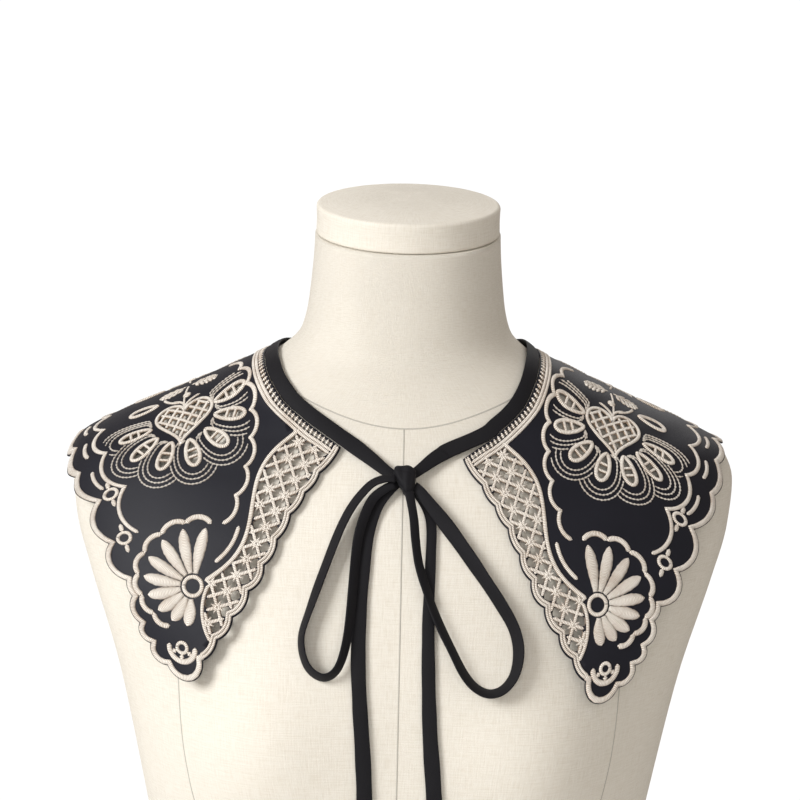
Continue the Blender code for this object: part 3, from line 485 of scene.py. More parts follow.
flower = {
    "eye": (112.5, 152.7), "eyeWidth": 2.2, "eyeRadius": 5.0,
    # Equal petals in equal steps: a petal's reach follows a cosine, greatest in the long direction.
    "petals": 9, "from": -100.0, "to": 84.0, "reach": 26.5, "sway": 5.5, "long": -85.0,
    "foot": 6.8, "halfWidth": 3.3, "bow": 0.6, "footShare": 0.4,
    # The lobes of the ring past the petals.
    "lobes": {"count": 7, "from": -104.0, "to": 62.0, "past": 3.0, "bulge": 0.26, "width": 3.0},
}
border = {"edge": 0.8, "front": (1.55, 3.15), "frontWidth": 1.5, "outer": 1.85, "outerWidth": 3.0}
neckTrim = {"satins": (4.3, 6.1), "satinWidth": 1.7, "ladder": (0.4, 3.5), "pitch": 2.6, "bar": 1.1,
            "gap": (1.3, 3.0, 1.5)}
# How high each kind of satin stands above the cloth, in mm.
satinHeight = {"front": 0.7, "rim": 0.85, "neck": 0.65, "rung": 0.55, "ring": 0.8, "bar": 0.6, "arc": 0.85,
               "eye": 0.9, "loop": 0.85, "slotBar": 0.55, "heart": 0.8, "lattice": 0.5, "stem": 0.5,
               "calyx": 0.6, "bud": 1.0, "leafRing": 0.8}
cloth = {"under": 1.25, "top": 2.2, "neckLift": 0.9, "neckFade": 12.0, "grid": 3.4, "ripple": 0.22}

hemLine = scalloped(cut["hem"])
hemLine[:, 0] = np.maximum(hemLine[:, 0], cut["seamInset"])
neckLine = smoothRoute(cut["neck"], 190)
neckLine[:, 0] = np.maximum(neckLine[:, 0], cut["seamInset"])
backSeam = evenly(np.array([hemLine[-1], neckLine[-1]]), 40)
outline = np.vstack([hemLine, backSeam[1:-1], neckLine[::-1][:-1]])


def netSide(start, end, swing, count):
    # The neck side of the net: a straight way with one full sine swing to its sides.
    way = np.subtract(end, start)
    share = np.linspace(0, 1, count + 1)[:, None]
    return start + way * share - leftward(way) / np.linalg.norm(way) * swing * np.sin(2 * math.pi * share)


netLine = curve(netSide(**satinLines["net"]))
hemCusps = np.array([row[:2] for row in cut["hem"]], float)
innerCusps = beside(hemCusps, -satinLines["inner"]["inset"])[satinLines["inner"]["firstCusp"]:]
innerLine = scalloped(withBulge(innerCusps, satinLines["inner"]["bulge"]))
innerLine[:, 0] = np.maximum(innerLine[:, 0], cut["seamInset"])
field = satinLines["field"]
fieldLine = scalloped(withBulge(arcOver(field["start"], field["end"], field["sagitta"], field["scallops"]),
                                field["bulge"]))
frontHem = hemLine[:int(np.argmin(np.linalg.norm(hemLine - cut["hem"][cut["frontCusps"]][:2], axis=1))) + 1]
foot = curve(arcOver(**cut["netFoot"]))
neckCorner = beside(neckLine, 7.0)
neckCorner = neckCorner[neckCorner[:, 1] > 62]
netField = np.vstack([beside(frontHem, -3.9)[7:-4], beside(foot, 1.2)[::-1], beside(netLine, 1.1)[::-1],
                      neckCorner[::-1][:-3]])
heartLoop = closedEvenly(heartShape(heart["centre"], heart["size"], heart["stretch"]))


def lattice(weave, field):
    # Lattice lines through the corners between the cells, kept inside the field, and the cells.
    cell, step, rise = (np.array(weave[name], float) for name in ("cell", "step", "rise"))
    count = np.arange(-16, 17)
    corner = cell - (step + rise) / 2
    t = np.arange(-16, 16.01, 1 / 7)[:, None]
    lines = []
    for k in count:
        for start, run in ((corner + k * rise, step), (corner + k * step, rise)):
            line = start + t * run
            lines += runsInside(line, contains(field, line))
    middles = (cell + count[:, None, None] * step + count[:, None] * rise).reshape(-1, 2)
    turn = np.arange(12) * math.pi / 6 + 0.2
    # A rounded square: the superellipse of power 4 on the two steps.
    flat = np.stack([np.cos(turn), np.sin(turn)], axis=-1)
    flat = flat / (np.abs(flat) ** 4).sum(axis=1, keepdims=True) ** 0.25
    shape = (flat[:, :1] * step + flat[:, 1:] * rise) * weave["open"] / 2
    near = contains(field, middles) | (distanceTo(field, middles) < 3.0)
    corners = (corner + count[:, None, None] * step + count[:, None] * rise)
    odd = ((count[:, None] + count[None, :]) % 2 == 0).ravel()
    crossings = corners.reshape(-1, 2)
    stars = crossings[odd & contains(field, crossings)]
    return lines, [middle + shape for middle in middles[near]], stars, step, rise


netBars, netCells, netStars, netStep, netRise = lattice(net, netField)
heartField = beside(heartLoop, 0.9, closed=True)
if np.ptp(heartField[:, 0]) > np.ptp(heartLoop[:, 0]):
    heartField = beside(heartLoop, -0.9, closed=True)
heartBars, heartCells, _, _, _ = lattice(heart, heartField)


def inset(loop, distance):
    # A closed line moved inwards.
    moved = beside(loop, distance, closed=True)
    return moved if np.ptp(moved[:, 0]) < np.ptp(loop[:, 0]) else beside(loop, -distance, closed=True)


def barOver(slot, share, width, reach):
    # A bar across a slot: its middle line and its outline.
    base, tip = np.array(slot[:2], float), np.array(slot[2:], float)
    axis = unit(tip - base)
    side = leftward(axis)
    middle = base + (tip - base) * share
    line = np.array([middle - side * reach, middle + side * reach])
    half = axis * width / 2
    return line, np.array([line[0] - half, line[1] - half, line[1] + half, line[0] + half])


fan = heart["fan"]
fanTurns = np.linspace(fan["from"], fan["to"], fan["petals"])


def fromHeart(turn, radii):
    return [onRay(heart["centre"], turn, radius) for radius in radii]


petalLoops = [closedEvenly(teardrop(*fromHeart(turn, fan["loop"]), fan["halfWidth"])) for turn in fanTurns]
petalSlots = [np.ravel(fromHeart(turn, fan["slot"])) for turn in fanTurns]
slotBars = [barOver(slot, share, heart["slotBar"], 5.0) for slot in petalSlots for share in heart["slotBars"]]


def ladderGaps():
    # Small cuts beside the neck edge, one for each pitch.
    low, high, wide = neckTrim["gap"]
    count = int(lengthOf(neckLine) / neckTrim["pitch"])
    places = evenly(neckLine, count)
    left, _ = leftOf(places, False)
    ahead = np.stack([left[:, 1], -left[:, 0]], axis=-1)
    middles = (places[1:] + places[:-1]) / 2
    left, ahead = (left[1:] + left[:-1]) / 2, (ahead[1:] + ahead[:-1]) / 2
    gaps = [middles + left * depth + ahead * wide / 2 * sign
            for depth, sign in ((low, -1), (low, 1), (high, 1), (high, -1))]
    gaps = np.stack(gaps, axis=1)[2:-2]
    rungs = np.stack([places + leftOf(places, False)[0] * depth for depth in neckTrim["ladder"]], axis=1)[1:-1]
    return gaps, rungs


neckGaps, neckRungs = ladderGaps()


def flatCloth():
    # Delaunay triangles of the cut between all its edges. A triangle is open where its middle is
    # in a hole and on none of the hole's bars.
    low, high = outline.min(axis=0), outline.max(axis=0)
    grid = np.stack(np.meshgrid(*[np.arange(a + 1.7, b, cloth["grid"]) for a, b in zip(low, high)]), axis=-1)
    grid = grid.reshape(-1, 2) + randomDraws.uniform(-0.4, 0.4, (grid.size // 2, 2))
    slots = [inset(loop, heart["ring"] - 0.25) for loop in petalLoops]
    bars = [rectangle for _, rectangle in slotBars]
    mirrored = [mirroredBack(loop) for loop in slots + bars + heartCells + [heartField]]
    slots += mirrored[:len(slots)]
    few = len(petalLoops)
    backBars = mirrored[few:few + len(bars)]
    backCells, backHeart = mirrored[few + len(bars):-1], mirrored[-1]
    closed = [outline, netField, heartField, backHeart] + slots + bars + backBars
    closed += netCells + heartCells + backCells + list(neckGaps)
    edgeLine = np.vstack([outline, outline[:1]])
    grid = grid[contains(outline, grid)]
    grid = grid[distanceTo(edgeLine, grid) > 1.5]
    points, edges = [grid], []
    first = len(grid)
    for loop in closed:
        k = np.arange(len(loop))
        edges.append(np.stack([k, (k + 1) % len(loop)], axis=-1) + first)
        points.append(loop)
        first += len(loop)
    flat = [Vector(point) for point in np.vstack(points).tolist()]
    made = delaunay_2d_cdt(flat, np.vstack(edges).tolist(), [], 0, 1e-4)
    flat = np.array([point[:] for point in made[0]])
    faces = np.array([face[:] for face in made[2]])
    middles = flat[faces].mean(axis=1)
    opened = inAny(netCells, middles) & contains(netField, middles)
    opened |= inAny(heartCells, middles) & contains(heartField, middles)
    opened |= inAny(backCells, middles) & contains(backHeart, middles)
    opened |= inAny(slots, middles) & ~inAny(bars + backBars, middles)
    opened |= inAny(list(neckGaps), middles)
    kept = contains(outline, middles) & ~opened
    used, faces = np.unique(faces[kept], return_inverse=True)
    faces = faces.reshape(-1, 3)
    flat = flat[used]
    corner = flat[faces]
    turned = np.cross(corner[:, 1] - corner[:, 0], corner[:, 2] - corner[:, 0]) < 0
    faces[turned] = faces[turned][:, ::-1]
    return flat, faces


def inAny(loops, points):
    found = np.zeros(len(points), bool)
    for loop in loops:
        low, high = loop.min(axis=0), loop.max(axis=0)
        near = np.flatnonzero(((points >= low) & (points <= high)).all(axis=1))
        if len(near):
            found[near] |= contains(loop, points[near])
    return found


def ripple(pattern):
    # A few long waves, so that the cloth doesn't lie like a board.
    u, v = pattern[..., 0], pattern[..., 1]
    waves = np.sin(u / 17.0 + v / 31.0 + 0.6) + np.sin(v / 19.0 - u / 41.0 + 2.1) + np.sin((u + v) / 11.0)
    return cloth["ripple"] * waves / 2


def neckRise(pattern):
    shape = pattern.shape[:-1]
    coarse = neckLine[::6]
    away = distanceTo(coarse, pattern.reshape(-1, 2))
    return (cloth["neckLift"] * np.exp(-away / cloth["neckFade"])).reshape(shape)


# Meshes.

def meshObject(name, points, faces, material, uv=None, slots=None):
    # faces is a list of corner arrays, each of one size. uv is per face corner, in the same order.
    mesh = bpy.data.meshes.new(name)
    corners = np.concatenate([block.ravel() for block in faces])
    sizes = np.concatenate([np.full(len(block), block.shape[1]) for block in faces])
    mesh.vertices.add(len(points))
    mesh.vertices.foreach_set("co", np.asarray(points, np.float32).ravel())
    mesh.loops.add(len(corners))
    mesh.loops.foreach_set("vertex_index", corners.astype(np.int32))
    mesh.polygons.add(len(sizes))
    mesh.polygons.foreach_set("loop_start", (np.cumsum(sizes) - sizes).astype(np.int32))
    if slots is not None:
        mesh.polygons.foreach_set("material_index", slots.astype(np.int32))
    if uv is not None:
        mesh.uv_layers.new(name="UVMap").data.foreach_set("uv", uv.astype(np.float32).ravel())
    mesh.polygons.foreach_set("use_smooth", np.full(len(sizes), True))
    mesh.update(calc_edges=True)
    mesh.validate()
    for one in material if isinstance(material, list) else [material]:
        mesh.materials.append(one)
    made = bpy.data.objects.new(name, mesh)
    bpy.context.scene.collection.objects.link(made)
    return made


def gridFaces(rows, columns, wrapRows=False, wrapColumns=False):
    r = np.arange(rows if wrapRows else rows - 1)[:, None]
    c = np.arange(columns if wrapColumns else columns - 1)[None, :]
    r1, c1 = (r + 1) % rows, (c + 1) % columns
    quads = [r * columns + c, r * columns + c1, r1 * columns + c1, r1 * columns + c]
    return np.stack([np.broadcast_to(q, (len(r), c.shape[1])) for q in quads], axis=-1).reshape(-1, 4)


class Stitching:
    # Satin strokes of one piece. Each is a domed profile carried along a line on the flat cloth:
    # the section goes across from -1 to 1, and rises as the square root of 1 - across squared.
    across = np.array([-1.0, -0.80, -0.36, 0.36, 0.80, 1.0, 0.9, -0.9])
    height = np.array([0.05, 0.62, 0.95, 0.95, 0.62, 0.05, -1.0, -1.0])

    def __init__(self):
        self.places, self.lifts, self.uvs, self.quads, self.caps, self.count = [], [], [], [], [], 0

    def stroke(self, line, width, height=0.75, ends=(True, True), closed=False, slant=0.0, leaf=None, base=None):
        line = np.asarray(line, float)
        left, stretch = leftOf(line, closed)
        walked = walkedAlong(line)
        half = np.full(len(line), width / 2)
        half = half * (1 + 0.03 * np.sin(walked * 5.3) + 0.03 * np.sin(walked * 8.9 + 1.3))
        if leaf is not None:
            half = half * leaf
        elif not closed:
            for far, rounded in ((walked, ends[0]), (walked[-1] - walked, ends[1])):
                near = np.clip(far / (width / 2), 0.0, 1.0)
                if rounded:
                    half = half * np.sqrt(np.maximum(1 - (1 - near) ** 2, 0.03))
        if leaf is None:
            tall = height * np.clip(half / (width / 2) + 0.12, 0.2, 1.0)
        else:
            tall = height * (0.35 + 0.65 * leaf)
        reach = (half * np.minimum(stretch[:, 0], 1.25))[:, None, None]
        place = line[:, None] + left[:, None] * reach * self.across[:, None]
        top = cloth["top"] if base is None else base
        lift = np.where(self.height < 0, -0.45, self.height * tall[:, None]) + top
        run = walked[:, None] + slant * np.abs(self.across)[None, :] * half[:, None]
        uv = np.stack([run, np.broadcast_to(self.across, run.shape)], axis=-1)
        count, m = len(line), len(self.across)
        quads = gridFaces(count, m, wrapRows=closed, wrapColumns=True)
        self.places.append(place.reshape(-1, 2))
        self.lifts.append(lift.ravel())
        self.quads.append(quads + self.count)
        self.uvs.append(uv.reshape(-1, 2))
        if not closed:
            ring = np.arange(m)
            self.caps.append(np.stack([ring[::-1], (count - 1) * m + ring]) + self.count)
        self.count += count * m

    def piece(self, name, side, material):
        places, lifts = np.vstack(self.places), np.concatenate(self.lifts)
        places[:, 0] = np.maximum(places[:, 0], cut["seamInset"])
        points, _ = laid(places, side, lifts + ripple(places) + neckRise(places))
        faces = [np.vstack(self.quads)] + ([np.vstack(self.caps)] if self.caps else [])
        if side > 0:
            faces = [block[:, ::-1] for block in faces]
        uvs = np.vstack(self.uvs)
        uv = np.vstack([uvs[block.ravel()] for block in faces])
        return meshObject(name, points, faces, material, uv)


def leafProfile(count, foot=0.3, peak=0.6):
    # Half width along a leaf: a quarter sine up from the foot's share to the peak, then a
    # rounded end.
    t = np.linspace(0.0, 1.0, count)
    rise = foot + (1 - foot) * np.sin(math.pi / 2 * np.clip(t / peak, 0, 1)) ** 1.2
    fall = np.maximum(1 - np.clip((t - peak) / (1 - peak), 0, 1) ** 2.2, 0.0) ** 0.6
    return np.maximum(np.where(t < peak, rise, fall), 0.07)


def bowed(base, tip, bow, spacing=0.9):
    # A line from base to tip that bows to its left as a parabola.
    base, tip = np.array(base, float), np.array(tip, float)
    t = np.linspace(0, 1, max(6, int(np.linalg.norm(tip - base) / spacing)))[:, None]
    side = leftward(unit(tip - base))
    return base + (tip - base) * t + side * bow * 4 * t * (1 - t)


def petalStroke(work, base, tip, halfWidth, bow, foot=0.3, height=1.0):
    line = bowed(base, tip, bow)
    work.stroke(line, 2 * halfWidth, height=height, slant=0.9, leaf=leafProfile(len(line), foot))


def petalReach(degrees):
    return flower["reach"] + flower["sway"] * math.cos(math.radians(degrees - flower["long"]))


def satinWork():
    # All the raised satin of one half but the net.
    work = Stitching()
    high = satinHeight
    for distance in border["front"]:
        work.stroke(beside(frontHem, -distance), border["frontWidth"], height=high["front"])
    rim = beside(hemLine[len(frontHem) - 3:], -border["outer"])
    # The last place is carried on to the seam of the back.
    rim = np.vstack([rim, [[cut["seamInset"], rim[-1, 1] + 0.6]]])
    work.stroke(rim, border["outerWidth"], height=high["rim"], ends=(True, False))
    for distance in neckTrim["satins"]:
        work.stroke(beside(neckLine, distance)[3:], neckTrim["satinWidth"], height=high["neck"], ends=(True, False))
    for rung in neckRungs:
        work.stroke(evenly(rung, 4), neckTrim["bar"] * 1.35, height=high["rung"])
    wide = satinLines["width"]
    work.stroke(innerLine, wide, ends=(True, False))
    work.stroke(fieldLine, wide)
    work.stroke(netLine, wide)
    work.stroke(foot, satinLines["footWidth"])
    hook = satinLines["hook"]
    part = slice(int(hook["from"] * len(netLine)), int(hook["to"] * len(netLine)))
    work.stroke(beside(netLine, -hook["beside"])[part], wide)
    companions = satinLines["companions"]
    for at in companions["scallops"]:
        arch = evenly(scalloped(withBulge(innerCusps[at:at + 2], satinLines["inner"]["bulge"])), 40)
        less = int(companions["share"] * len(arch))
        work.stroke(beside(arch, companions["beside"])[less:-less], satinLines["companionWidth"])
    wheels, tip = satinLines["wheels"], satinLines["tip"]
    for centre in beside(hemCusps, -wheels["inset"])[list(wheels["cusps"])]:
        barredRing(work, centre, wheels)
    # The ring at the point, and the arc below it.
    barredRing(work, tip["centre"], tip)
    below = [onRay(tip["centre"], turn, tip["arc"]) for turn in np.linspace(*tip["turns"], tip["places"])]
    work.stroke(curve(below), tip["arcWidth"], height=high["arc"])
    lobes = flower["lobes"]
    cusps = [onRay(flower["eye"], turn, petalReach(turn) + lobes["past"])
             for turn in np.linspace(lobes["from"], lobes["to"], lobes["count"] + 1)]
    for first, last in zip(cusps, cusps[1:]):
        lobe = arcOver(first, last, -lobes["bulge"] * math.dist(first, last))
        work.stroke(curve(lobe), lobes["width"], height=high["arc"])
    work.stroke(circle(flower["eye"], flower["eyeRadius"], 36), flower["eyeWidth"], closed=True, height=high["eye"])
    for turn in np.linspace(flower["from"], flower["to"], flower["petals"]):
        ends = (onRay(flower["eye"], turn, flower["foot"]), onRay(flower["eye"], turn, petalReach(turn)))
        petalStroke(work, *ends, flower["halfWidth"], flower["bow"], flower["footShare"])
    for back in (False, True):
        place = mirroredBack if back else (lambda rows: np.array(rows, float))
        heartWork(work, place)
        if not back:
            for base, tip, pairs in heart["feathers"]:
                featherLeaf(work, base, tip, pairs)
    return work


def barredRing(work, centre, ring):
    # A round ring with its bars.
    work.stroke(circle(centre, (ring["hole"] + ring["rim"]) / 2), ring["rim"] - ring["hole"], closed=True,
                height=satinHeight["ring"])
    for turn in ring["bars"]:
        work.stroke(curve([onRay(centre, turn, radius) for radius in ring["barEnds"]]), ring["barWidth"],
                    height=satinHeight["bar"])


def heartWork(work, place):
    # The heart basket, its loop petals, stem, calyx, bud and ring leaf.
    high = satinHeight
    for loop in petalLoops:
        work.stroke(place(inset(loop, heart["ring"] / 2)), heart["ring"], closed=True, height=high["loop"])
    for index, (line, _) in enumerate(slotBars):
        loop = inset(petalLoops[index // len(heart["slotBars"])], 1.0)
        fine = evenly(line, 21)
        for run in runsInside(fine, contains(loop, fine)):
            work.stroke(place(evenly(run, 7)), heart["slotBarWidth"], height=high["slotBar"])
    work.stroke(place(heartLoop), heart["rimWidth"], closed=True, height=high["heart"])
    for line in heartBars:
        work.stroke(place(line), heart["bar"], height=high["lattice"])
    for kind in ("stem", "calyx"):
        for arch in heart[kind]:
            work.stroke(place(curve(arcOver(*arch))), heart[kind + "Width"], height=high[kind])
    # A round bud: its half width along the line is that of a circle.
    work.stroke(place(evenly(np.array(heart["bud"]), 9)), heart["budWidth"], height=high["bud"],
                leaf=np.sqrt(np.maximum(1 - np.linspace(-1, 1, 9) ** 2, 0.01)))
    leafLoop = inset(closedEvenly(teardrop(*heart["leafRing"].values())), heart["leafRingWidth"] / 2 + 0.05)
    work.stroke(place(leafLoop), heart["leafRingWidth"], closed=True, height=high["leafRing"])


def featherLeaf(work, base, tip, pairs):
    # A stem with short leaves in pairs, longest in the middle.
    base, tip = np.array(base, float), np.array(tip, float)
    axis = unit(tip - base)
    side = leftward(axis)
    work.stroke(evenly(np.array([base, tip]), 16), 1.1, height=0.5)
    for k in range(pairs):
        share = (k + 0.7) / pairs
        root = base + (tip - base) * share * 0.9
        reach = 6.4 * math.sin(math.pi * (0.25 + 0.65 * share))
        for sign in (-1, 1):
            petalStroke(work, root, root + axis * reach * 0.75 + side * sign * reach * 0.8, 1.1, 0.3, height=0.6)


def netWork():
    # The wrapped bars of the square net and the pointed stars on every second crossing.
    work = Stitching()
    for line in netBars:
        work.stroke(line, net["bar"], height=net["barHeight"])
    for middle in netStars:
        for toward in (netStep + netRise, netStep - netRise, -netStep - netRise, netRise - netStep):
            reach = toward / np.linalg.norm(toward) * net["tooth"]
            line = evenly(np.array([middle - reach * 0.1, middle + reach]), len(net["toothShape"]))
            work.stroke(line, net["toothWidth"], height=net["toothHeight"], leaf=np.array(net["toothShape"]))
    return work


def shellLines():
    # Each petal's outline pushed out: by the reach beside it, growing with the square of the way
    # from base to tip to the reach past it, and drawn in to nothing at the base.
    groups, largest = [], []
    motifField = np.vstack([fieldLine, innerLine[innerLine[:, 1] > 0]])
    for loop, slot in zip(petalLoops, petalSlots):
        base, tip = np.array(slot[:2], float), np.array(slot[2:], float)
        axis = unit(tip - base)
        out, _ = leftOf(loop, True)
        out = out * np.sign(((loop - loop.mean(axis=0)) * out).sum(axis=1).sum())
        way = (loop - base) @ axis
        share = np.clip((way - way.min()) / np.ptp(way), 0, 1)[:, None]
        shells = [loop + out * (near + (far - near) * share**2) * smoothStep(share / 0.22)
                  for near, far in zip(heart["beside"], heart["past"])]
        start = int(np.argmin(share))
        groups.append(([np.roll(shell, -start, axis=0) for shell in shells], np.roll(share[:, 0], -start)))
        largest.append(shells[-1])
    kept = []
    for index, (shells, share) in enumerate(groups):
        for shell in shells:
            keep = (share > 0.05) & ~contains(inset(heartLoop, -1.0), shell)
            for line in (fieldLine, innerLine):
                keep &= distanceTo(line, shell) > heart["clear"]
            keep &= contains(motifField, shell)
            for above in largest[index + 1:index + 2]:
                keep &= ~contains(above, shell)
            for other, loop in enumerate(petalLoops):
                if other != index:
                    keep &= ~contains(loop, shell)
            kept += [run for run in runsInside(shell, keep) if lengthOf(run) > 4.0]
    return kept


def runningWork():
    # Cord-like running stitches: a thin stroke that swells and narrows once for each stitch.
    work = Stitching()
    shells = shellLines()
    for back in (False, True):
        for line in shells:
            line = mirroredBack(line) if back else line
            count = int(lengthOf(line) / heart["stitchStep"])
            line = evenly(line, count)
            walked = np.arange(count) * heart["stitchStep"]
            swell = 1 - heart["swell"] + heart["swell"] * np.cos(walked * (2 * math.pi / heart["stitch"]))
            ends = smoothStep(np.minimum(walked, walked[::-1]) / 0.8 + 0.2)
            work.stroke(line, heart["stitchWidth"], height=heart["stitchHeight"], leaf=swell * ends,
                        base=cloth["top"] - 0.05)
    return work


def dress(piece, node=None):
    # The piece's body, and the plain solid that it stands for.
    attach(piece, "root")
    if node:
        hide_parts(node)


# Materials.

linenLook = {"light": (0.87, 0.835, 0.755, 1.0), "dark": (0.62, 0.56, 0.455, 1.0), "thread": 0.62 * mm}


def linen(name, kind="UV", shade=1.0):
    # Plain weave: warp and weft ribs from two sines, broken by slubs stretched along each thread.
    look = Look(name)
    place = look.place(kind)
    turn = 2 * math.pi / linenLook["thread"]
    warp = (look.axis(place, "X") * turn).sine().absolute()
    weft = (look.axis(place, "Y") * turn).sine().absolute()
    slubAcross = look.noise(look.place(kind, (90.0, 1500.0, 90.0)), 1.0, 3.0, 0.6)
    slubUp = look.noise(look.place(kind, (1500.0, 110.0, 110.0)), 1.0, 3.0, 0.6)
    cloudy = look.noise(look.place(kind, (14.0, 14.0, 14.0)), 1.0, 3.0, 0.55)
    rib = warp * slubUp + weft * slubAcross
    tone = rib * 0.45 + (slubAcross + slubUp) * 0.75 + cloudy * 0.2 - 0.35
    # shade scales both ends of the colour; below 1 it is painted shade, as on the seams.
    dark, light = (tuple(shade * c for c in linenLook[part][:3]) + (1.0,) for part in ("dark", "light"))
    colour = look.blend(tone, dark, light)
    height = rib * 0.7 + (slubAcross + slubUp) * 0.5
    return look.shade(Base_Color=colour, Roughness=0.82 + 0.1 * (1 - cloudy),
                      Normal=look.bump(height, 0.22 * mm, 0.8), Specular_IOR_Level=0.25,
                      Sheen_Weight=0.12, Sheen_Roughness=0.5)


def navySatin(name):
    # Fine slanted twill ribs with a faint cloudy lustre.
    look = Look(name)
    place = look.place("UV", (1.0, 1.0, 1.0), (0.0, 0.0, math.radians(38.0)))
    twill = (look.axis(place, "X") * (2 * math.pi / 0.42)).sine()
    grain = look.noise(look.place("UV", (2.2, 0.35, 1.0)), 1.0, 3.0, 0.6)
    cloudy = look.noise(look.place("UV", (0.05, 0.05, 1.0)), 1.0, 2.0)
    colour = look.blend(cloudy * 0.6 + grain * 0.4, (0.0030, 0.0034, 0.0075, 1.0), (0.0075, 0.008, 0.0150, 1.0))
    return look.shade(Base_Color=colour, Roughness=0.46 + 0.16 * grain,
                      Normal=look.bump(twill * 0.25 + grain, 0.05 * mm, 0.7),
                      Specular_IOR_Level=0.26, Sheen_Weight=0.04, Sheen_Roughness=0.4,
                      Sheen_Tint=(0.55, 0.58, 0.75, 1.0))


def ivoryThread(name, pitch=0.85, twist=0.0):
    # Satin stitches side by side: a rib for each thread from the sine of the run, its tone and
    # depth changed thread by thread. The colour also holds painted shade: darker in the grooves
    # between the ribs and where the stroke rolls over at its edges.
    look = Look(name)
    place = look.place("UV")
    along, across = look.axis(place, "X"), look.axis(place, "Y")
    run = along + across * twist
    rib = (run * (math.pi / pitch)).sine().absolute()
    each = look.noise(look.place("UV", (1.0 / pitch, 0.12, 1.0)), 1.0, 2.0, 0.6)
    cloudy = look.noise(look.place("Object", (85.0, 85.0, 85.0)), 1.0, 2.0, 0.5)
    # Painted shade at the stroke's rolled-over edges: the colour darkens as across nears -1 and 1.
    edge = (across * across) * (across * across)
    # The rib term paints shade between the stitches; each and cloudy give the thread's own tone.
    tone = rib * 0.75 + each * 0.9 + cloudy * 0.9 - 0.62 - edge * 0.4
    # The dark end is a painted shade of the ivory, and the near-white light end a painted highlight.
    colour = look.blend(tone, (0.40, 0.27, 0.17, 1.0), (1.0, 0.95, 0.87, 1.0))
    return look.shade(Base_Color=colour, Roughness=0.34 + 0.22 * each,
                      Normal=look.bump(rib * (0.6 + each * 0.6), 0.50 * mm, 1.0),
                      Specular_IOR_Level=0.7, Sheen_Weight=0.30, Sheen_Roughness=0.30)


def blackCrepe(name):
    # Pebbled crepe: two grains of noise.
    look = Look(name)
    place = look.place("Object", (1.0, 1.0, 1.0))
    pebble = look.noise(place, 1500.0, 3.0, 0.6)
    drift = look.noise(place, 120.0, 3.0, 0.5)
    colour = look.blend(pebble * 0.6 + drift * 0.4, (0.0025, 0.0025, 0.0035, 1.0), (0.0085, 0.008, 0.011, 1.0))
    return look.shade(Base_Color=colour, Roughness=0.62 + 0.2 * pebble,
                      Normal=look.bump(pebble + drift * 0.6, 0.12 * mm, 0.8),
                      Specular_IOR_Level=0.22, Sheen_Weight=0.05, Sheen_Roughness=0.45,
                      Sheen_Tint=(0.6, 0.6, 0.68, 1.0))


linenCover = linen("natural linen cover")
# The seams' linen is darkened to 0.62 of the cover's colour as painted shade, so the raised seams read as grooves.
seamLinenPaintedShade = linen("linen in the seams with painted shade", shade=0.62)
clothSatin = navySatin("navy satin cloth")
threadSatin = ivoryThread("ivory satin stitch")
threadRun = ivoryThread("ivory running stitch", 0.55, 0.3)
crepe = blackCrepe("black crepe")
print("materials ready")


# The form.

def formRings(heights, tilt=None):
    # Rings of the form: rays from the axis in the superellipse's directions. Level rings keep
    # their height, and the tilted ones follow the seat of the cap.
    turns = turnsOf(form["segments"])
    height = np.repeat(np.asarray(heights, float)[:, None], form["segments"], axis=1)
    for _ in range(3 if tilt is not None else 1):
        columns = (formTable[n] for n in form["columns"][1:])
        halfWidth, front, back, _ = (monotone(formTable["height"], c, height) for c in columns)
        start = np.stack([0 * height, (back - front) / 2, height], axis=-1)
        depth = (back + front) / 2
        direction = np.stack([halfWidth * np.cos(turns), depth * np.sin(turns), 0 * height], axis=-1)
        direction = unit(direction)
        points = outermost(start, direction, 0.3, formTable)
        if tilt is not None:
            height = tilt(points[..., 1])
    return points


def capFrame():
    tilt = cap["tilt"]
    up = np.array([0.0, -math.sin(tilt), math.cos(tilt)])
    forward = np.array([0.0, -math.cos(tilt), -math.sin(tilt)])
    return np.array(cap["base"]), up, forward


def lofted(name, rings, material, uvScale, poles):
    # A closed body through equal rings, with a pole at each end. uv is in metres round and up.
    rows, columns = rings.shape[:2]
    points = np.vstack([rings.reshape(-1, 3), poles])
    quads = gridFaces(rows, columns, wrapColumns=True)
    ring = np.arange(columns)
    after = (ring + 1) % columns
    foot = np.stack([after, ring, np.full(columns, rows * columns)], axis=-1)
    head = np.stack([ring, after, np.full(columns, rows * columns + 1)], axis=-1)
    head[:, :2] += (rows - 1) * columns
    rise = np.concatenate([[0], np.cumsum(np.linalg.norm(np.diff(rings, axis=0), axis=2).mean(axis=1))])
    u0 = np.broadcast_to(ring / columns * uvScale, (rows - 1, columns)).ravel()
    u1 = u0 + uvScale / columns
    v0, v1 = np.repeat(rise[:-1], columns), np.repeat(rise[1:], columns)
    quadUv = np.stack([np.stack([u0, v0], -1), np.stack([u1, v0], -1), np.stack([u1, v1], -1),
                       np.stack([u0, v1], -1)], axis=1).reshape(-1, 2)
    capUv = points[np.concatenate([foot.ravel(), head.ravel()])][:, :2]
    return meshObject(name, points, [quads, foot, head], material, np.vstack([quadUv, capUv]))


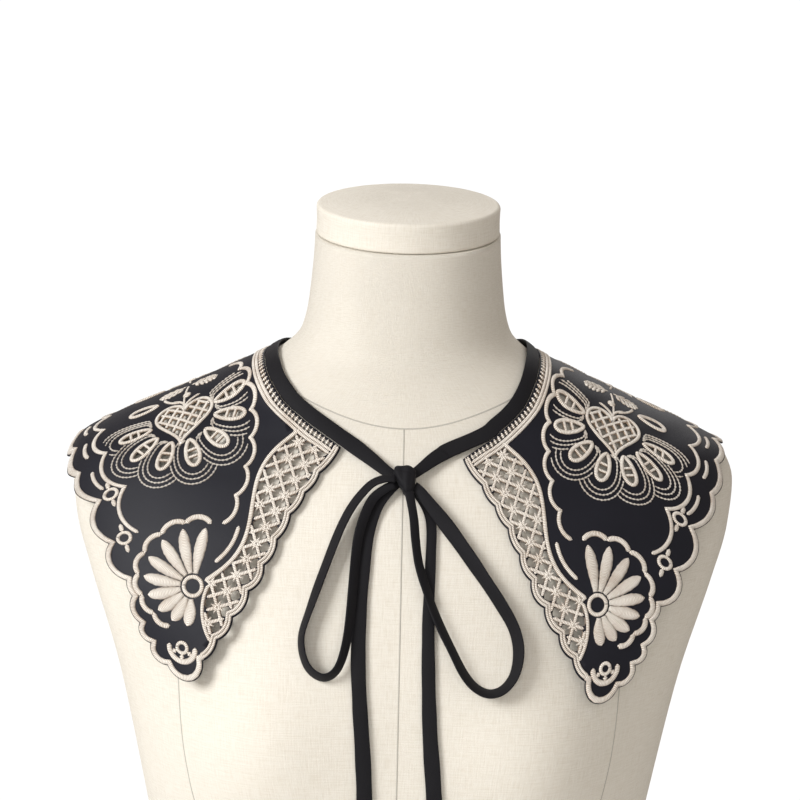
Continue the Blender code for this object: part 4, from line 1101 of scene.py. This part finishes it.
def buildForm():
    rounding = form["hemRound"]
    heights = np.concatenate([[0.0], np.arange(0.0015, form["tiltStart"], form["ringStep"])])
    rings = formRings(heights)
    centre = rings[0].mean(axis=0)
    edge = np.stack([centre + (rings[0] - centre) * share for share in (0.5, 0.9)])
    edge[..., 2] = 0.0
    rings[0] = centre + (rings[0] - centre) * (1 - rounding / 0.13)
    rings[0][:, 2] = 0.0
    base, up, _ = capFrame()
    seat = base - up * form["seamGap"]
    top = [formRings([form["tiltStart"]], lambda y, s=share: form["tiltStart"]
                     + s * (seat[2] - (y - seat[1]) * up[1] / up[2] - form["tiltStart"]))
           for share in np.linspace(0.02, 1.0, 12)]
    rim = top[-1][0]
    crown = rim.mean(axis=0)
    lids = [(crown + (rim - crown) * share)[None] for share in (0.97, 0.5)]
    rings = np.vstack([edge, rings] + top + lids)
    return lofted("form_cover_body", rings, linenCover, 0.9, [centre * [1, 1, 0], crown])


def buildCap():
    base, up, forward = capFrame()
    edge, tall, crown = cap["edge"], cap["thickness"], cap["crown"]
    # Profile: how far the side is drawn in, and the height: a rounded foot, a straight side, a
    # rounded shoulder and a low crown.
    bend = np.linspace(0, math.pi / 2, 7)
    footEdge = np.stack([0.6 * edge * (1 - np.sin(bend)), 0.6 * edge * (1 - np.cos(bend))], -1)
    bulge = 0.0002 * np.sin(np.linspace(0, math.pi, 9))
    side = np.stack([bulge, np.linspace(0.6 * edge, tall - edge, 9)], -1)[1:-1]
    shoulder = np.stack([1.2 * edge * (1 - np.cos(bend)), tall - edge * (1 - np.sin(bend))], -1)
    inward = np.linspace(0.06, 0.97, 14)
    reach = cap["halfWidth"] - 1.2 * edge
    dome = np.stack([1.2 * edge + reach * inward, tall + crown * (1 - (1 - inward) ** 2)], -1)
    under = [[0.5 * cap["halfWidth"], 0.0]], footEdge[:1] + [[0.0006, 0]]
    profile = np.vstack([*under, footEdge, side, shoulder, dome])
    turns = turnsOf(cap["segments"])
    rings = np.stack([
        base + np.outer(np.cos(turns) * (cap["halfWidth"] - drawnIn), [1.0, 0, 0])
        - np.outer(np.sin(turns) * (cap["halfDepth"] - drawnIn), forward) + height * up
        for drawnIn, height in profile])
    return lofted("form_cover_cap", rings, linenCover, 0.336, [base, base + (tall + crown) * up])


def tube(name, paths, radius, material, flatten, normals):
    # Rounded ridges along paths: flattened circles square to the path, closed by their end rings.
    points, quads, caps, uvs, count = [], [], [], [], 0
    turns = np.arange(8) * math.pi / 4
    for path, up in zip(paths, normals):
        step = np.gradient(path, axis=0)
        step = unit(step)
        side = np.cross(step, up)
        side = unit(side)
        up = np.cross(side, step)
        ring = (path[:, None] + radius * np.cos(turns)[:, None] * side[:, None]
                + radius * flatten * np.sin(turns)[:, None] * up[:, None])
        points.append(ring.reshape(-1, 3))
        quads.append(gridFaces(len(path), 8, wrapColumns=True)[:, ::-1] + count)
        end = np.arange(8)
        caps.append(np.stack([end, (len(path) - 1) * 8 + end[::-1]]) + count)
        walked = walkedAlong(path)
        uvs.append(np.stack(np.broadcast_arrays(walked[:, None], turns[None] * radius), -1).reshape(-1, 2))
        count += len(path) * 8
    faces = [np.vstack(quads), np.vstack(caps)]
    uvs = np.vstack(uvs)
    return meshObject(name, np.vstack(points), faces, material, np.vstack([uvs[f.ravel()] for f in faces]))


seams = {
    "radius": 0.5 * mm, "proud": 0.12 * mm, "neckFront": 0.5900, "neckSide": 0.627, "neckBackRise": 0.004,
    # Upright seams: direction round the form in degrees, height of the top, and sway in degrees.
    "upright": [(-90, 0.590, 0.0), (90, 0.630, 0.0), (-52, 0.595, 6.0), (-128, 0.595, -6.0), (60, 0.600, 4.0),
                (120, 0.600, -4.0), (0, 0.560, 0.0), (180, 0.560, 0.0)],
    "foot": 0.003,
}


def onForm(x, y, z):
    # Points of the form's surface at height z, by a level ray in the direction (x, y).
    middle = np.interp(z, formTable["height"], (formTable["back"] - formTable["front"]) / 2)
    start = np.stack([0 * z, middle, z], -1)
    direction = np.stack([x, y, 0 * z], -1)
    direction = unit(direction)
    surface = outermost(start, direction, 0.3, formTable)
    return surface, normalsAt(surface, formTable)


def buildSeams():
    # The neck seam, and seams down the middle, the sides and the princess lines.
    paths, normals = [], []
    turn = np.linspace(0, 2 * math.pi, 161)
    height = seams["neckSide"] + (seams["neckFront"] - seams["neckSide"]) * np.maximum(-np.sin(turn), 0) ** 1.6
    height = height + seams["neckBackRise"] * np.maximum(np.sin(turn), 0)
    rows = [(np.cos(turn) * 0.062, np.sin(turn) * 0.06, height)]
    down = np.linspace(0.0, 1.0, 150)
    for angle, top, sway in seams["upright"]:
        bend = np.radians(angle + sway * np.sin(down * math.pi * 2))
        z = top + (seams["foot"] - top) * down
        rows.append((np.cos(bend) * 0.15, np.sin(bend) * 0.1, z))
    for x, y, z in rows:
        surface, normal = onForm(x, y, z)
        paths.append(surface + normal * (seams["proud"] - seams["radius"] * 0.4))
        normals.append(normal)
    return tube("form_seams", paths, seams["radius"], seamLinenPaintedShade, 0.5, normals)


formBody = buildForm()
formCap = buildCap()
formSeams = buildSeams()
print("form ready")


# The collar.

def closedCloth(name, side, flat, faces):
    # Top and under sheets of the cut, joined by a wall round every edge. The walls of the
    # openings are bound in thread.
    wave = ripple(flat) + neckRise(flat)
    top, _ = laid(flat, side, cloth["top"] + wave)
    under, _ = laid(flat, side, cloth["under"] + wave)
    n = len(flat)
    if side > 0:
        faces = faces[:, ::-1]
    pairs = np.concatenate([faces[:, [0, 1]], faces[:, [1, 2]], faces[:, [2, 0]]])
    key = pairs.min(axis=1) * n + pairs.max(axis=1)
    _, index, count = np.unique(key, return_index=True, return_counts=True)
    rim = pairs[index[count == 1]]
    walls = np.stack([rim[:, 1], rim[:, 0], rim[:, 0] + n, rim[:, 1] + n], axis=-1)
    edge = np.vstack([outline, outline[:1]])
    bound = distanceTo(edge, flat[rim].mean(axis=1)) > 0.3
    slots = np.concatenate([np.zeros(2 * len(faces)), bound])
    blocks = [np.vstack([faces, faces[:, ::-1] + n]), walls]
    place = np.vstack([flat, flat])
    uv = np.vstack([place[block.ravel()] for block in blocks])
    return meshObject(name, np.vstack([top, under]), blocks, [clothSatin, threadSatin], uv, slots)


flatPoints, flatFaces = flatCloth()
satin, netting, running = satinWork(), netWork(), runningWork()
for word, side in (("left", -1), ("right", 1)):
    collar = closedCloth("cloth_" + word, side, flatPoints, flatFaces)
    work = [satin.piece("satin_stitch_" + word, side, threadSatin),
            netting.piece("net_bars_" + word, side, threadSatin),
            running.piece("running_stitch_" + word, side, threadRun)]
    for piece in work:
        dress(piece)
    dress(collar, "collar_" + word)
print("collar ready")


# The ties.

# Routes over the chest: x and z of the middle line, the width, and the lift off the form, in mm.
ties = {
    "wall": 1.7, "clear": -2.2, "section": 22,
    # How far the strip stands on edge along each loop: share of the way, and degrees.
    "turn": {"loopLeft": [(0, 10), (0.12, 34), (0.3, 50), (0.42, 62), (0.58, 60), (0.7, 46), (0.88, 30), (1, 10)],
             "loopRight": [(0, 10), (0.1, 16), (0.24, 44), (0.4, 56), (0.56, 60), (0.7, 46), (0.88, 34), (1, 10)]},
    "bindingWidth": 8.6, "bindingLift": 2.7, "bindingSeam": 0.7,
    "leadLeft": [(-27.0, 579.2, 8.8, 2.9), (-17.0, 572.2, 8.0, 4.0), (-8.8, 566.0, 6.4, 5.4), (-2.0, 562.0, 5.4, 6.0)],
    "leadRight": [(25.0, 578.4, 8.8, 2.9), (16.5, 573.2, 8.0, 4.0), (8.6, 567.0, 6.2, 5.4), (3.0, 563.0, 5.2, 6.0)],
    "loopLeft": [
        (-2.0, 561.2, 5.0, 8.6), (-9.0, 561.2, 5.0, 8.6), (-17.4, 558.2, 5.6, 7.6), (-26.0, 549.4, 6.2, 6.0),
        (-33.0, 537.4, 6.8, 4.8), (-40.0, 520.0, 7.6, 3.6), (-48.0, 498.0, 8.0, 2.6), (-52.4, 482.0, 8.2, 2.4),
        (-49.2, 468.6, 8.2, 2.4), (-41.0, 463.0, 8.2, 2.4), (-33.4, 467.0, 7.6, 2.8), (-28.6, 480.0, 6.8, 3.6),
        (-26.2, 500.0, 6.2, 3.8), (-24.8, 522.0, 5.8, 4.0), (-22.4, 538.0, 5.6, 4.6), (-16.6, 551.4, 5.2, 5.8),
        (-9.0, 557.4, 4.8, 6.4), (-2.0, 560.0, 4.8, 6.4)],
    "tailLeft": [
        (-1.0, 562.4, 5.0, 4.2), (-7.2, 557.0, 5.0, 3.8), (-13.4, 550.0, 6.2, 2.6), (-18.2, 538.0, 7.2, 1.9),
        (-20.4, 520.0, 7.6, 1.9), (-22.0, 496.0, 7.8, 1.9), (-22.0, 470.0, 8.0, 1.9), (-20.6, 446.0, 8.2, 1.9),
        (-18.6, 420.0, 8.4, 1.9), (-17.4, 395.0, 8.6, 1.9), (-18.4, 366.0, 8.6, 1.9), (-21.0, 340.0, 8.6, 1.9)],
    "loopRight": [
        (2.0, 560.6, 5.0, 6.4), (8.0, 557.2, 5.6, 6.4), (14.4, 550.6, 6.8, 5.6), (22.4, 542.0, 8.0, 4.2),
        (32.0, 530.6, 8.2, 3.0), (42.6, 516.6, 8.2, 2.4), (53.4, 501.6, 8.2, 2.2), (60.6, 489.0, 8.2, 2.2),
        (63.2, 477.4, 8.2, 2.2), (61.4, 466.0, 8.2, 2.2), (55.8, 458.6, 8.2, 2.2), (48.4, 456.4, 8.2, 2.2),
        (41.0, 459.4, 8.2, 2.4), (34.5, 466.4, 7.8, 2.8), (27.6, 478.5, 7.0, 3.8), (21.0, 491.0, 6.4, 4.0),
        (14.8, 505.5, 6.0, 4.2), (9.6, 520.0, 5.8, 4.8), (7.4, 532.0, 5.4, 6.0), (6.2, 542.0, 5.2, 7.8),
        (4.4, 550.6, 5.0, 8.6), (2.6, 558.0, 5.0, 8.6)],
    "tailRight": [
        (2.0, 562.0, 4.4, 4.0), (8.0, 555.6, 4.4, 3.4), (13.2, 549.0, 5.0, 2.2), (15.8, 541.0, 5.4, 1.9),
        (15.8, 526.0, 5.8, 1.9), (15.2, 504.0, 6.2, 1.9), (15.2, 484.0, 6.8, 1.9), (16.0, 459.0, 7.6, 1.9),
        (17.4, 433.0, 8.2, 1.9), (19.8, 405.0, 8.6, 1.9), (21.4, 378.0, 8.6, 1.9), (20.6, 350.0, 8.6, 1.9)],
}
knot = {"x": 0.0007, "z": 0.5612, "lift": 6.8 * mm, "size": (0.0070, 0.0050, 0.0086), "power": 3.4,
        "taper": 0.50, "sway": 1.8 * mm, "foldPitch": 0.00105, "foldDepth": 0.045, "band": 4.2 * mm,
        "bandSlope": 0.25, "bandWidth": 1.0 * mm, "bandDepth": 0.05, "columns": 96, "rows": 64}


def knotFrame():
    middle, normal = onChest(np.array([knot["x"]]), np.array([knot["z"]]), np.array([knot["lift"]]))
    across = np.array([1.0, 0.0, 0.0])
    up = np.cross(across, -normal[0])
    up = up / np.linalg.norm(up)
    return middle[0], np.stack([across, np.cross(across, up), up])


def inKnot(points, clear):
    middle, axes = knotFrame()
    away = np.abs((points - middle) @ axes.T) / (np.array(knot["size"]) + clear)
    return (away ** knot["power"]).sum(axis=1) < 1


def tieRoute(rows, count, clear, turn=((0, 0), (1, 0))):
    # The stretch of a tie outside the knot: middle line, normals and widths. Where the strip
    # stands on edge, its normal turns about the line and the line lifts to stay clear.
    fine = smoothRoute(rows, 400)
    x, z, _, lift = fine.T * mm
    centre, _ = onChest(x, z, lift)
    route = smoothRoute(fine[~inKnot(centre, clear)], count)
    x, z, width, lift = route.T * mm
    angle = np.radians(np.interp(np.linspace(0, 1, count), *np.array(turn, float).T))
    centre, normal = onChest(x, z, lift + 0.42 * width * np.sin(np.abs(angle)))
    step = np.gradient(centre, axis=0)
    side = np.cross(step, normal)
    side = unit(side)
    return centre, normal * np.cos(angle)[:, None] + side * np.sin(angle)[:, None], width


def foldedStrip(name, centre, normal, width, seamSide=0.0):
    # A bias strip folded into a flat tube: a superellipse of power 3 carried along the middle
    # line. Its two long edges meet under it and aren't joined.
    m = ties["section"]
    turn = np.linspace(-math.pi / 2, 1.5 * math.pi, m + 1)
    across = np.sign(np.cos(turn)) * np.abs(np.cos(turn)) ** (2 / 3.0)
    rise = np.sign(np.sin(turn)) * np.abs(np.sin(turn)) ** (2 / 3.0)
    step = np.gradient(centre, axis=0)
    side = np.cross(step, normal)
    side = unit(side)
    up = np.cross(side, step)
    up = unit(up)
    walked = walkedAlong(centre)
    half = width / 2 * (1 + 0.018 * np.sin(walked / 0.0041 + 0.7) + 0.014 * np.sin(walked / 0.0113))
    thick = ties["wall"] * mm / 2 * (1 + 0.10 * np.sin(walked / 0.0057 + 1.1))
    # A shallow groove along each edge, where the fold is pressed and stitched.
    groove = 1 - 0.20 * np.exp(-((np.abs(across) - 0.72) / 0.08) ** 2)
    for far in (walked, walked[-1] - walked):
        thick = thick * (0.62 + 0.38 * smoothStep(far / 0.0012))
    points = (centre[:, None] + side[:, None] * (half[:, None] * across)[..., None]
              + up[:, None] * (thick[:, None] * rise * groove)[..., None])
    if seamSide > 0:
        points[..., 0] = np.maximum(points[..., 0], seamSide)
    if seamSide < 0:
        points[..., 0] = np.minimum(points[..., 0], seamSide)
    count = len(centre)
    quads = gridFaces(count, m + 1)
    ring = np.arange(m + 1)
    caps = np.stack([ring[::-1], (count - 1) * (m + 1) + ring])
    girth = np.linspace(0, 2 * width.mean(), m + 1)
    uvs = np.stack(np.broadcast_arrays(walked[:, None], girth[None]), -1).reshape(-1, 2)
    faces = [quads, caps]
    made = meshObject(name, points.reshape(-1, 3), faces, crepe, np.vstack([uvs[f.ravel()] for f in faces]))
    return made, walked[-1], float(width.mean())


def upTheNeck(seam, side, distance):
    # Pattern places that far up the neck from the seam, square to it on the form.
    def at(points):
        return laid(points, side, np.zeros(points.shape[:-1]))[0]

    small = 0.5
    byAcross = at(seam + [small, 0.0]) - at(seam - [small, 0.0])
    byAlong = at(seam + [0.0, small]) - at(seam - [0.0, small])
    run = np.gradient(seam, axis=0)
    tangent = run[:, :1] * byAcross + run[:, 1:] * byAlong
    inward = np.stack([(byAlong * tangent).sum(axis=1), -(byAcross * tangent).sum(axis=1)], axis=-1)
    inward = unit(inward)
    neckward = beside(seam, -1.0) - seam
    inward = inward * np.sign((inward * neckward).sum(axis=1))[:, None]
    reach = np.linspace(0.0, 12.0, 49)
    trail = at(seam[None] + reach[:, None, None] * inward[None])
    walked = np.cumsum(np.linalg.norm(np.diff(trail, axis=0), axis=2), axis=0)
    walked = np.vstack([np.zeros((1, len(seam))), walked])
    needed = [np.interp(distance, walked[:, k], reach) for k in range(len(seam))]
    return seam + inward * np.array(needed)[:, None]


def bindingRoute(side, lead):
    seam = smoothRoute(cut["neck"], 23)
    width = ties["bindingWidth"] * mm
    middle = upTheNeck(seam, side, width / 2 + ties["bindingSeam"] * mm)[::-1]
    neckPart, neckNormal = laid(middle, side, np.full(len(middle), ties["bindingLift"]))
    front, frontNormal, frontWidth = tieRoute(lead, 7, ties["clear"] * mm)
    # The last places on the neck are left out, so that the strip runs straight on to the knot.
    used = len(neckPart) - 2
    rows = np.hstack([np.vstack([neckPart[:used], front]), np.vstack([neckNormal[:used], frontNormal]),
                      np.concatenate([np.full(used, width), frontWidth])[:, None]])
    padded = np.vstack([2 * rows[0] - rows[1], rows, 2 * rows[-1] - rows[-2]])
    a, b, c, d = padded[:-3, None], padded[1:-2, None], padded[2:-1, None], padded[3:, None]
    t = np.linspace(0, 1, 9)[:-1, None]
    fine = 0.5 * (2 * b + (c - a) * t + (2 * a - 5 * b + 4 * c - d) * t**2 + (3 * b - a - 3 * c + d) * t**3)
    fine = np.vstack([fine.reshape(-1, 7), rows[-1:]])
    return fine[:, :3], fine[:, 3:6], fine[:, 6]


def buildKnot():
    # A rounded block, |a|^n + |b|^n + |c|^n = 1, pleated by folds that run round it and closed at
    # its poles.
    middle, axes = knotFrame()
    turn = turnsOf(knot["columns"])
    rise = np.linspace(-math.pi / 2, math.pi / 2, knot["rows"])[1:-1, None]
    direction = np.stack([np.cos(rise) * np.cos(turn), -np.cos(rise) * np.sin(turn),
                          np.broadcast_to(np.sin(rise), (len(rise), len(turn)))], -1)
    size = np.array(knot["size"])
    radius = (np.abs(direction / size) ** knot["power"]).sum(axis=-1) ** (-1 / knot["power"])
    shape = direction * radius[..., None]
    # It narrows downwards by the height's share, and upright pleats and a wrapped band cross it.
    low = smoothStep(0.5 - shape[..., 2] / (1.7 * size[2]))
    narrowed = shape[..., 0] * (1 - knot["taper"] * low) + knot["sway"] * low
    fold = np.sin(narrowed / knot["foldPitch"] * (1 + 0.5 * low)) * np.cos(rise) ** 0.6
    band = np.exp(-((shape[..., 2] - knot["band"] + knot["bandSlope"] * shape[..., 0]) / knot["bandWidth"]) ** 2)
    shape = shape * (1 - knot["foldDepth"] * (1 - fold) - knot["bandDepth"] * band)[..., None]
    shape[..., 0] = shape[..., 0] * (1 - knot["taper"] * low) + knot["sway"] * low
    rings = middle + shape @ axes
    poles = [middle - 0.95 * size[2] * axes[2], middle + 0.95 * size[2] * axes[2]]
    return lofted("knot_wrap", rings, crepe, 0.04, poles)


knotPiece = buildKnot()
dress(knotPiece, "tie_knot")
strips = []
for word, side in (("left", -1), ("right", 1)):
    centre, normal, width = bindingRoute(side, ties["lead" + word.capitalize()])
    strips.append(("binding_" + word, "neck_binding_" + word, "gathered",
                   foldedStrip("neck_binding_" + word, centre, normal, width, seamSide=side * 0.2 * mm)))
    for part, count in (("loop", 190), ("tail", 130)):
        route = part + word.capitalize()
        turn = ties["turn"].get(route, ((0, 0), (1, 0)))
        centre, normal, width = tieRoute(ties[route], count, ties["clear"] * mm, turn)
        name = "bow_" + part + "_" + word
        strips.append(("tie_" + part + "_" + word, name, "hung", foldedStrip(name, centre, normal, width)))
for node, name, held, (piece, length, width) in strips:
    dress(piece, node)
    print(name, "length", round(length, 4), "mean width", round(width, 4))
for piece, node in ((formBody, "form_body"), (formCap, "form_neck_cap")):
    dress(piece, node)
dress(formSeams)
print("ties ready")


# Floor, light and camera.

studio = {"floorRadius": 1.0, "floorSides": 96, "world": 0.42, "seen": 1.05}
# Lamps: place, height that each aims at, side of its square, and power.
lamps = {
    "key": ((-1.5, -1.25, 1.45), 0.5, 0.9, 42.0),
    "fill": ((0.1, -1.8, 0.9), 0.5, 1.4, 7.5),
    "back": ((0.3, 1.4, 1.6), 0.6, 1.0, 8.0),
}
view = {"target": (0.0, 0.0, 0.60), "distance": 1.2, "elevation": math.radians(8.0), "roll": math.radians(1.2),
        "lens": 93.1, "left": 0.0026, "down": 0.0012}


def buildFloor():
    turns = turnsOf(studio["floorSides"])
    points = studio["floorRadius"] * np.stack([np.cos(turns), np.sin(turns), 0 * turns], -1)
    look = Look("pale floor")
    grain = look.noise(look.place("Object"), 6.0, 3.0)
    colour = look.blend(grain, (0.80, 0.80, 0.79, 1.0), (0.86, 0.86, 0.85, 1.0))
    disc = np.arange(studio["floorSides"])[None]
    floor = meshObject("floor", points, [disc], look.shade(Base_Color=colour, Roughness=0.8))


def areaLight(name, place, aim, side, power):
    data = bpy.data.lights.new(name, "AREA")
    data.shape, data.size, data.size_y, data.energy = "RECTANGLE", side, side, power
    lamp = bpy.data.objects.new(name, data)
    lamp.location = place
    lamp.rotation_euler = (Vector((0, 0, aim)) - Vector(place)).to_track_quat("-Z", "Y").to_euler()
    bpy.context.scene.collection.objects.link(lamp)


def buildWorld():
    world = bpy.data.worlds.new("white studio")
    bpy.context.scene.world = world
    world.use_nodes = True
    tree = world.node_tree
    # The backdrop is seen white, and lights the piece more softly than it is seen.
    soft, seen = tree.nodes["Background"], tree.nodes.new("ShaderNodeBackground")
    soft.inputs["Color"].default_value = (1.0, 0.91, 0.82, 1.0)
    soft.inputs["Strength"].default_value = studio["world"]
    seen.inputs["Strength"].default_value = studio["seen"]
    seen.inputs["Color"].default_value = (1.0, 1.0, 1.0, 1.0)
    mixed, path = tree.nodes.new("ShaderNodeMixShader"), tree.nodes.new("ShaderNodeLightPath")
    for source, target in ((path.outputs["Is Camera Ray"], mixed.inputs[0]), (soft.outputs[0], mixed.inputs[1]),
                           (seen.outputs[0], mixed.inputs[2]),
                           (mixed.outputs[0], tree.nodes["World Output"].inputs["Surface"])):
        tree.links.new(source, target)
    bpy.context.scene.view_settings.view_transform = "Standard"


def buildCamera():
    tilt, target = view["elevation"], Vector(view["target"])
    eye = target + Vector((0.0, -math.cos(tilt), math.sin(tilt))) * view["distance"]
    up = Vector((0.0, math.sin(tilt), math.cos(tilt)))
    eye = eye - Vector((view["left"], 0.0, 0.0)) - up * view["down"]
    data = bpy.data.cameras.new("studio camera")
    data.lens, data.sensor_width, data.clip_start = view["lens"], 36.0, 0.05
    camera = bpy.data.objects.new("studio camera", data)
    turned = Matrix.Rotation(math.pi / 2 - tilt, 4, "X") @ Matrix.Rotation(view["roll"], 4, "Z")
    camera.matrix_world = Matrix.Translation(eye) @ turned
    bpy.context.scene.collection.objects.link(camera)
    bpy.context.scene.camera = camera


buildFloor()
buildWorld()
for name, row in lamps.items():
    areaLight(name, *row)
buildCamera()
print("studio ready")
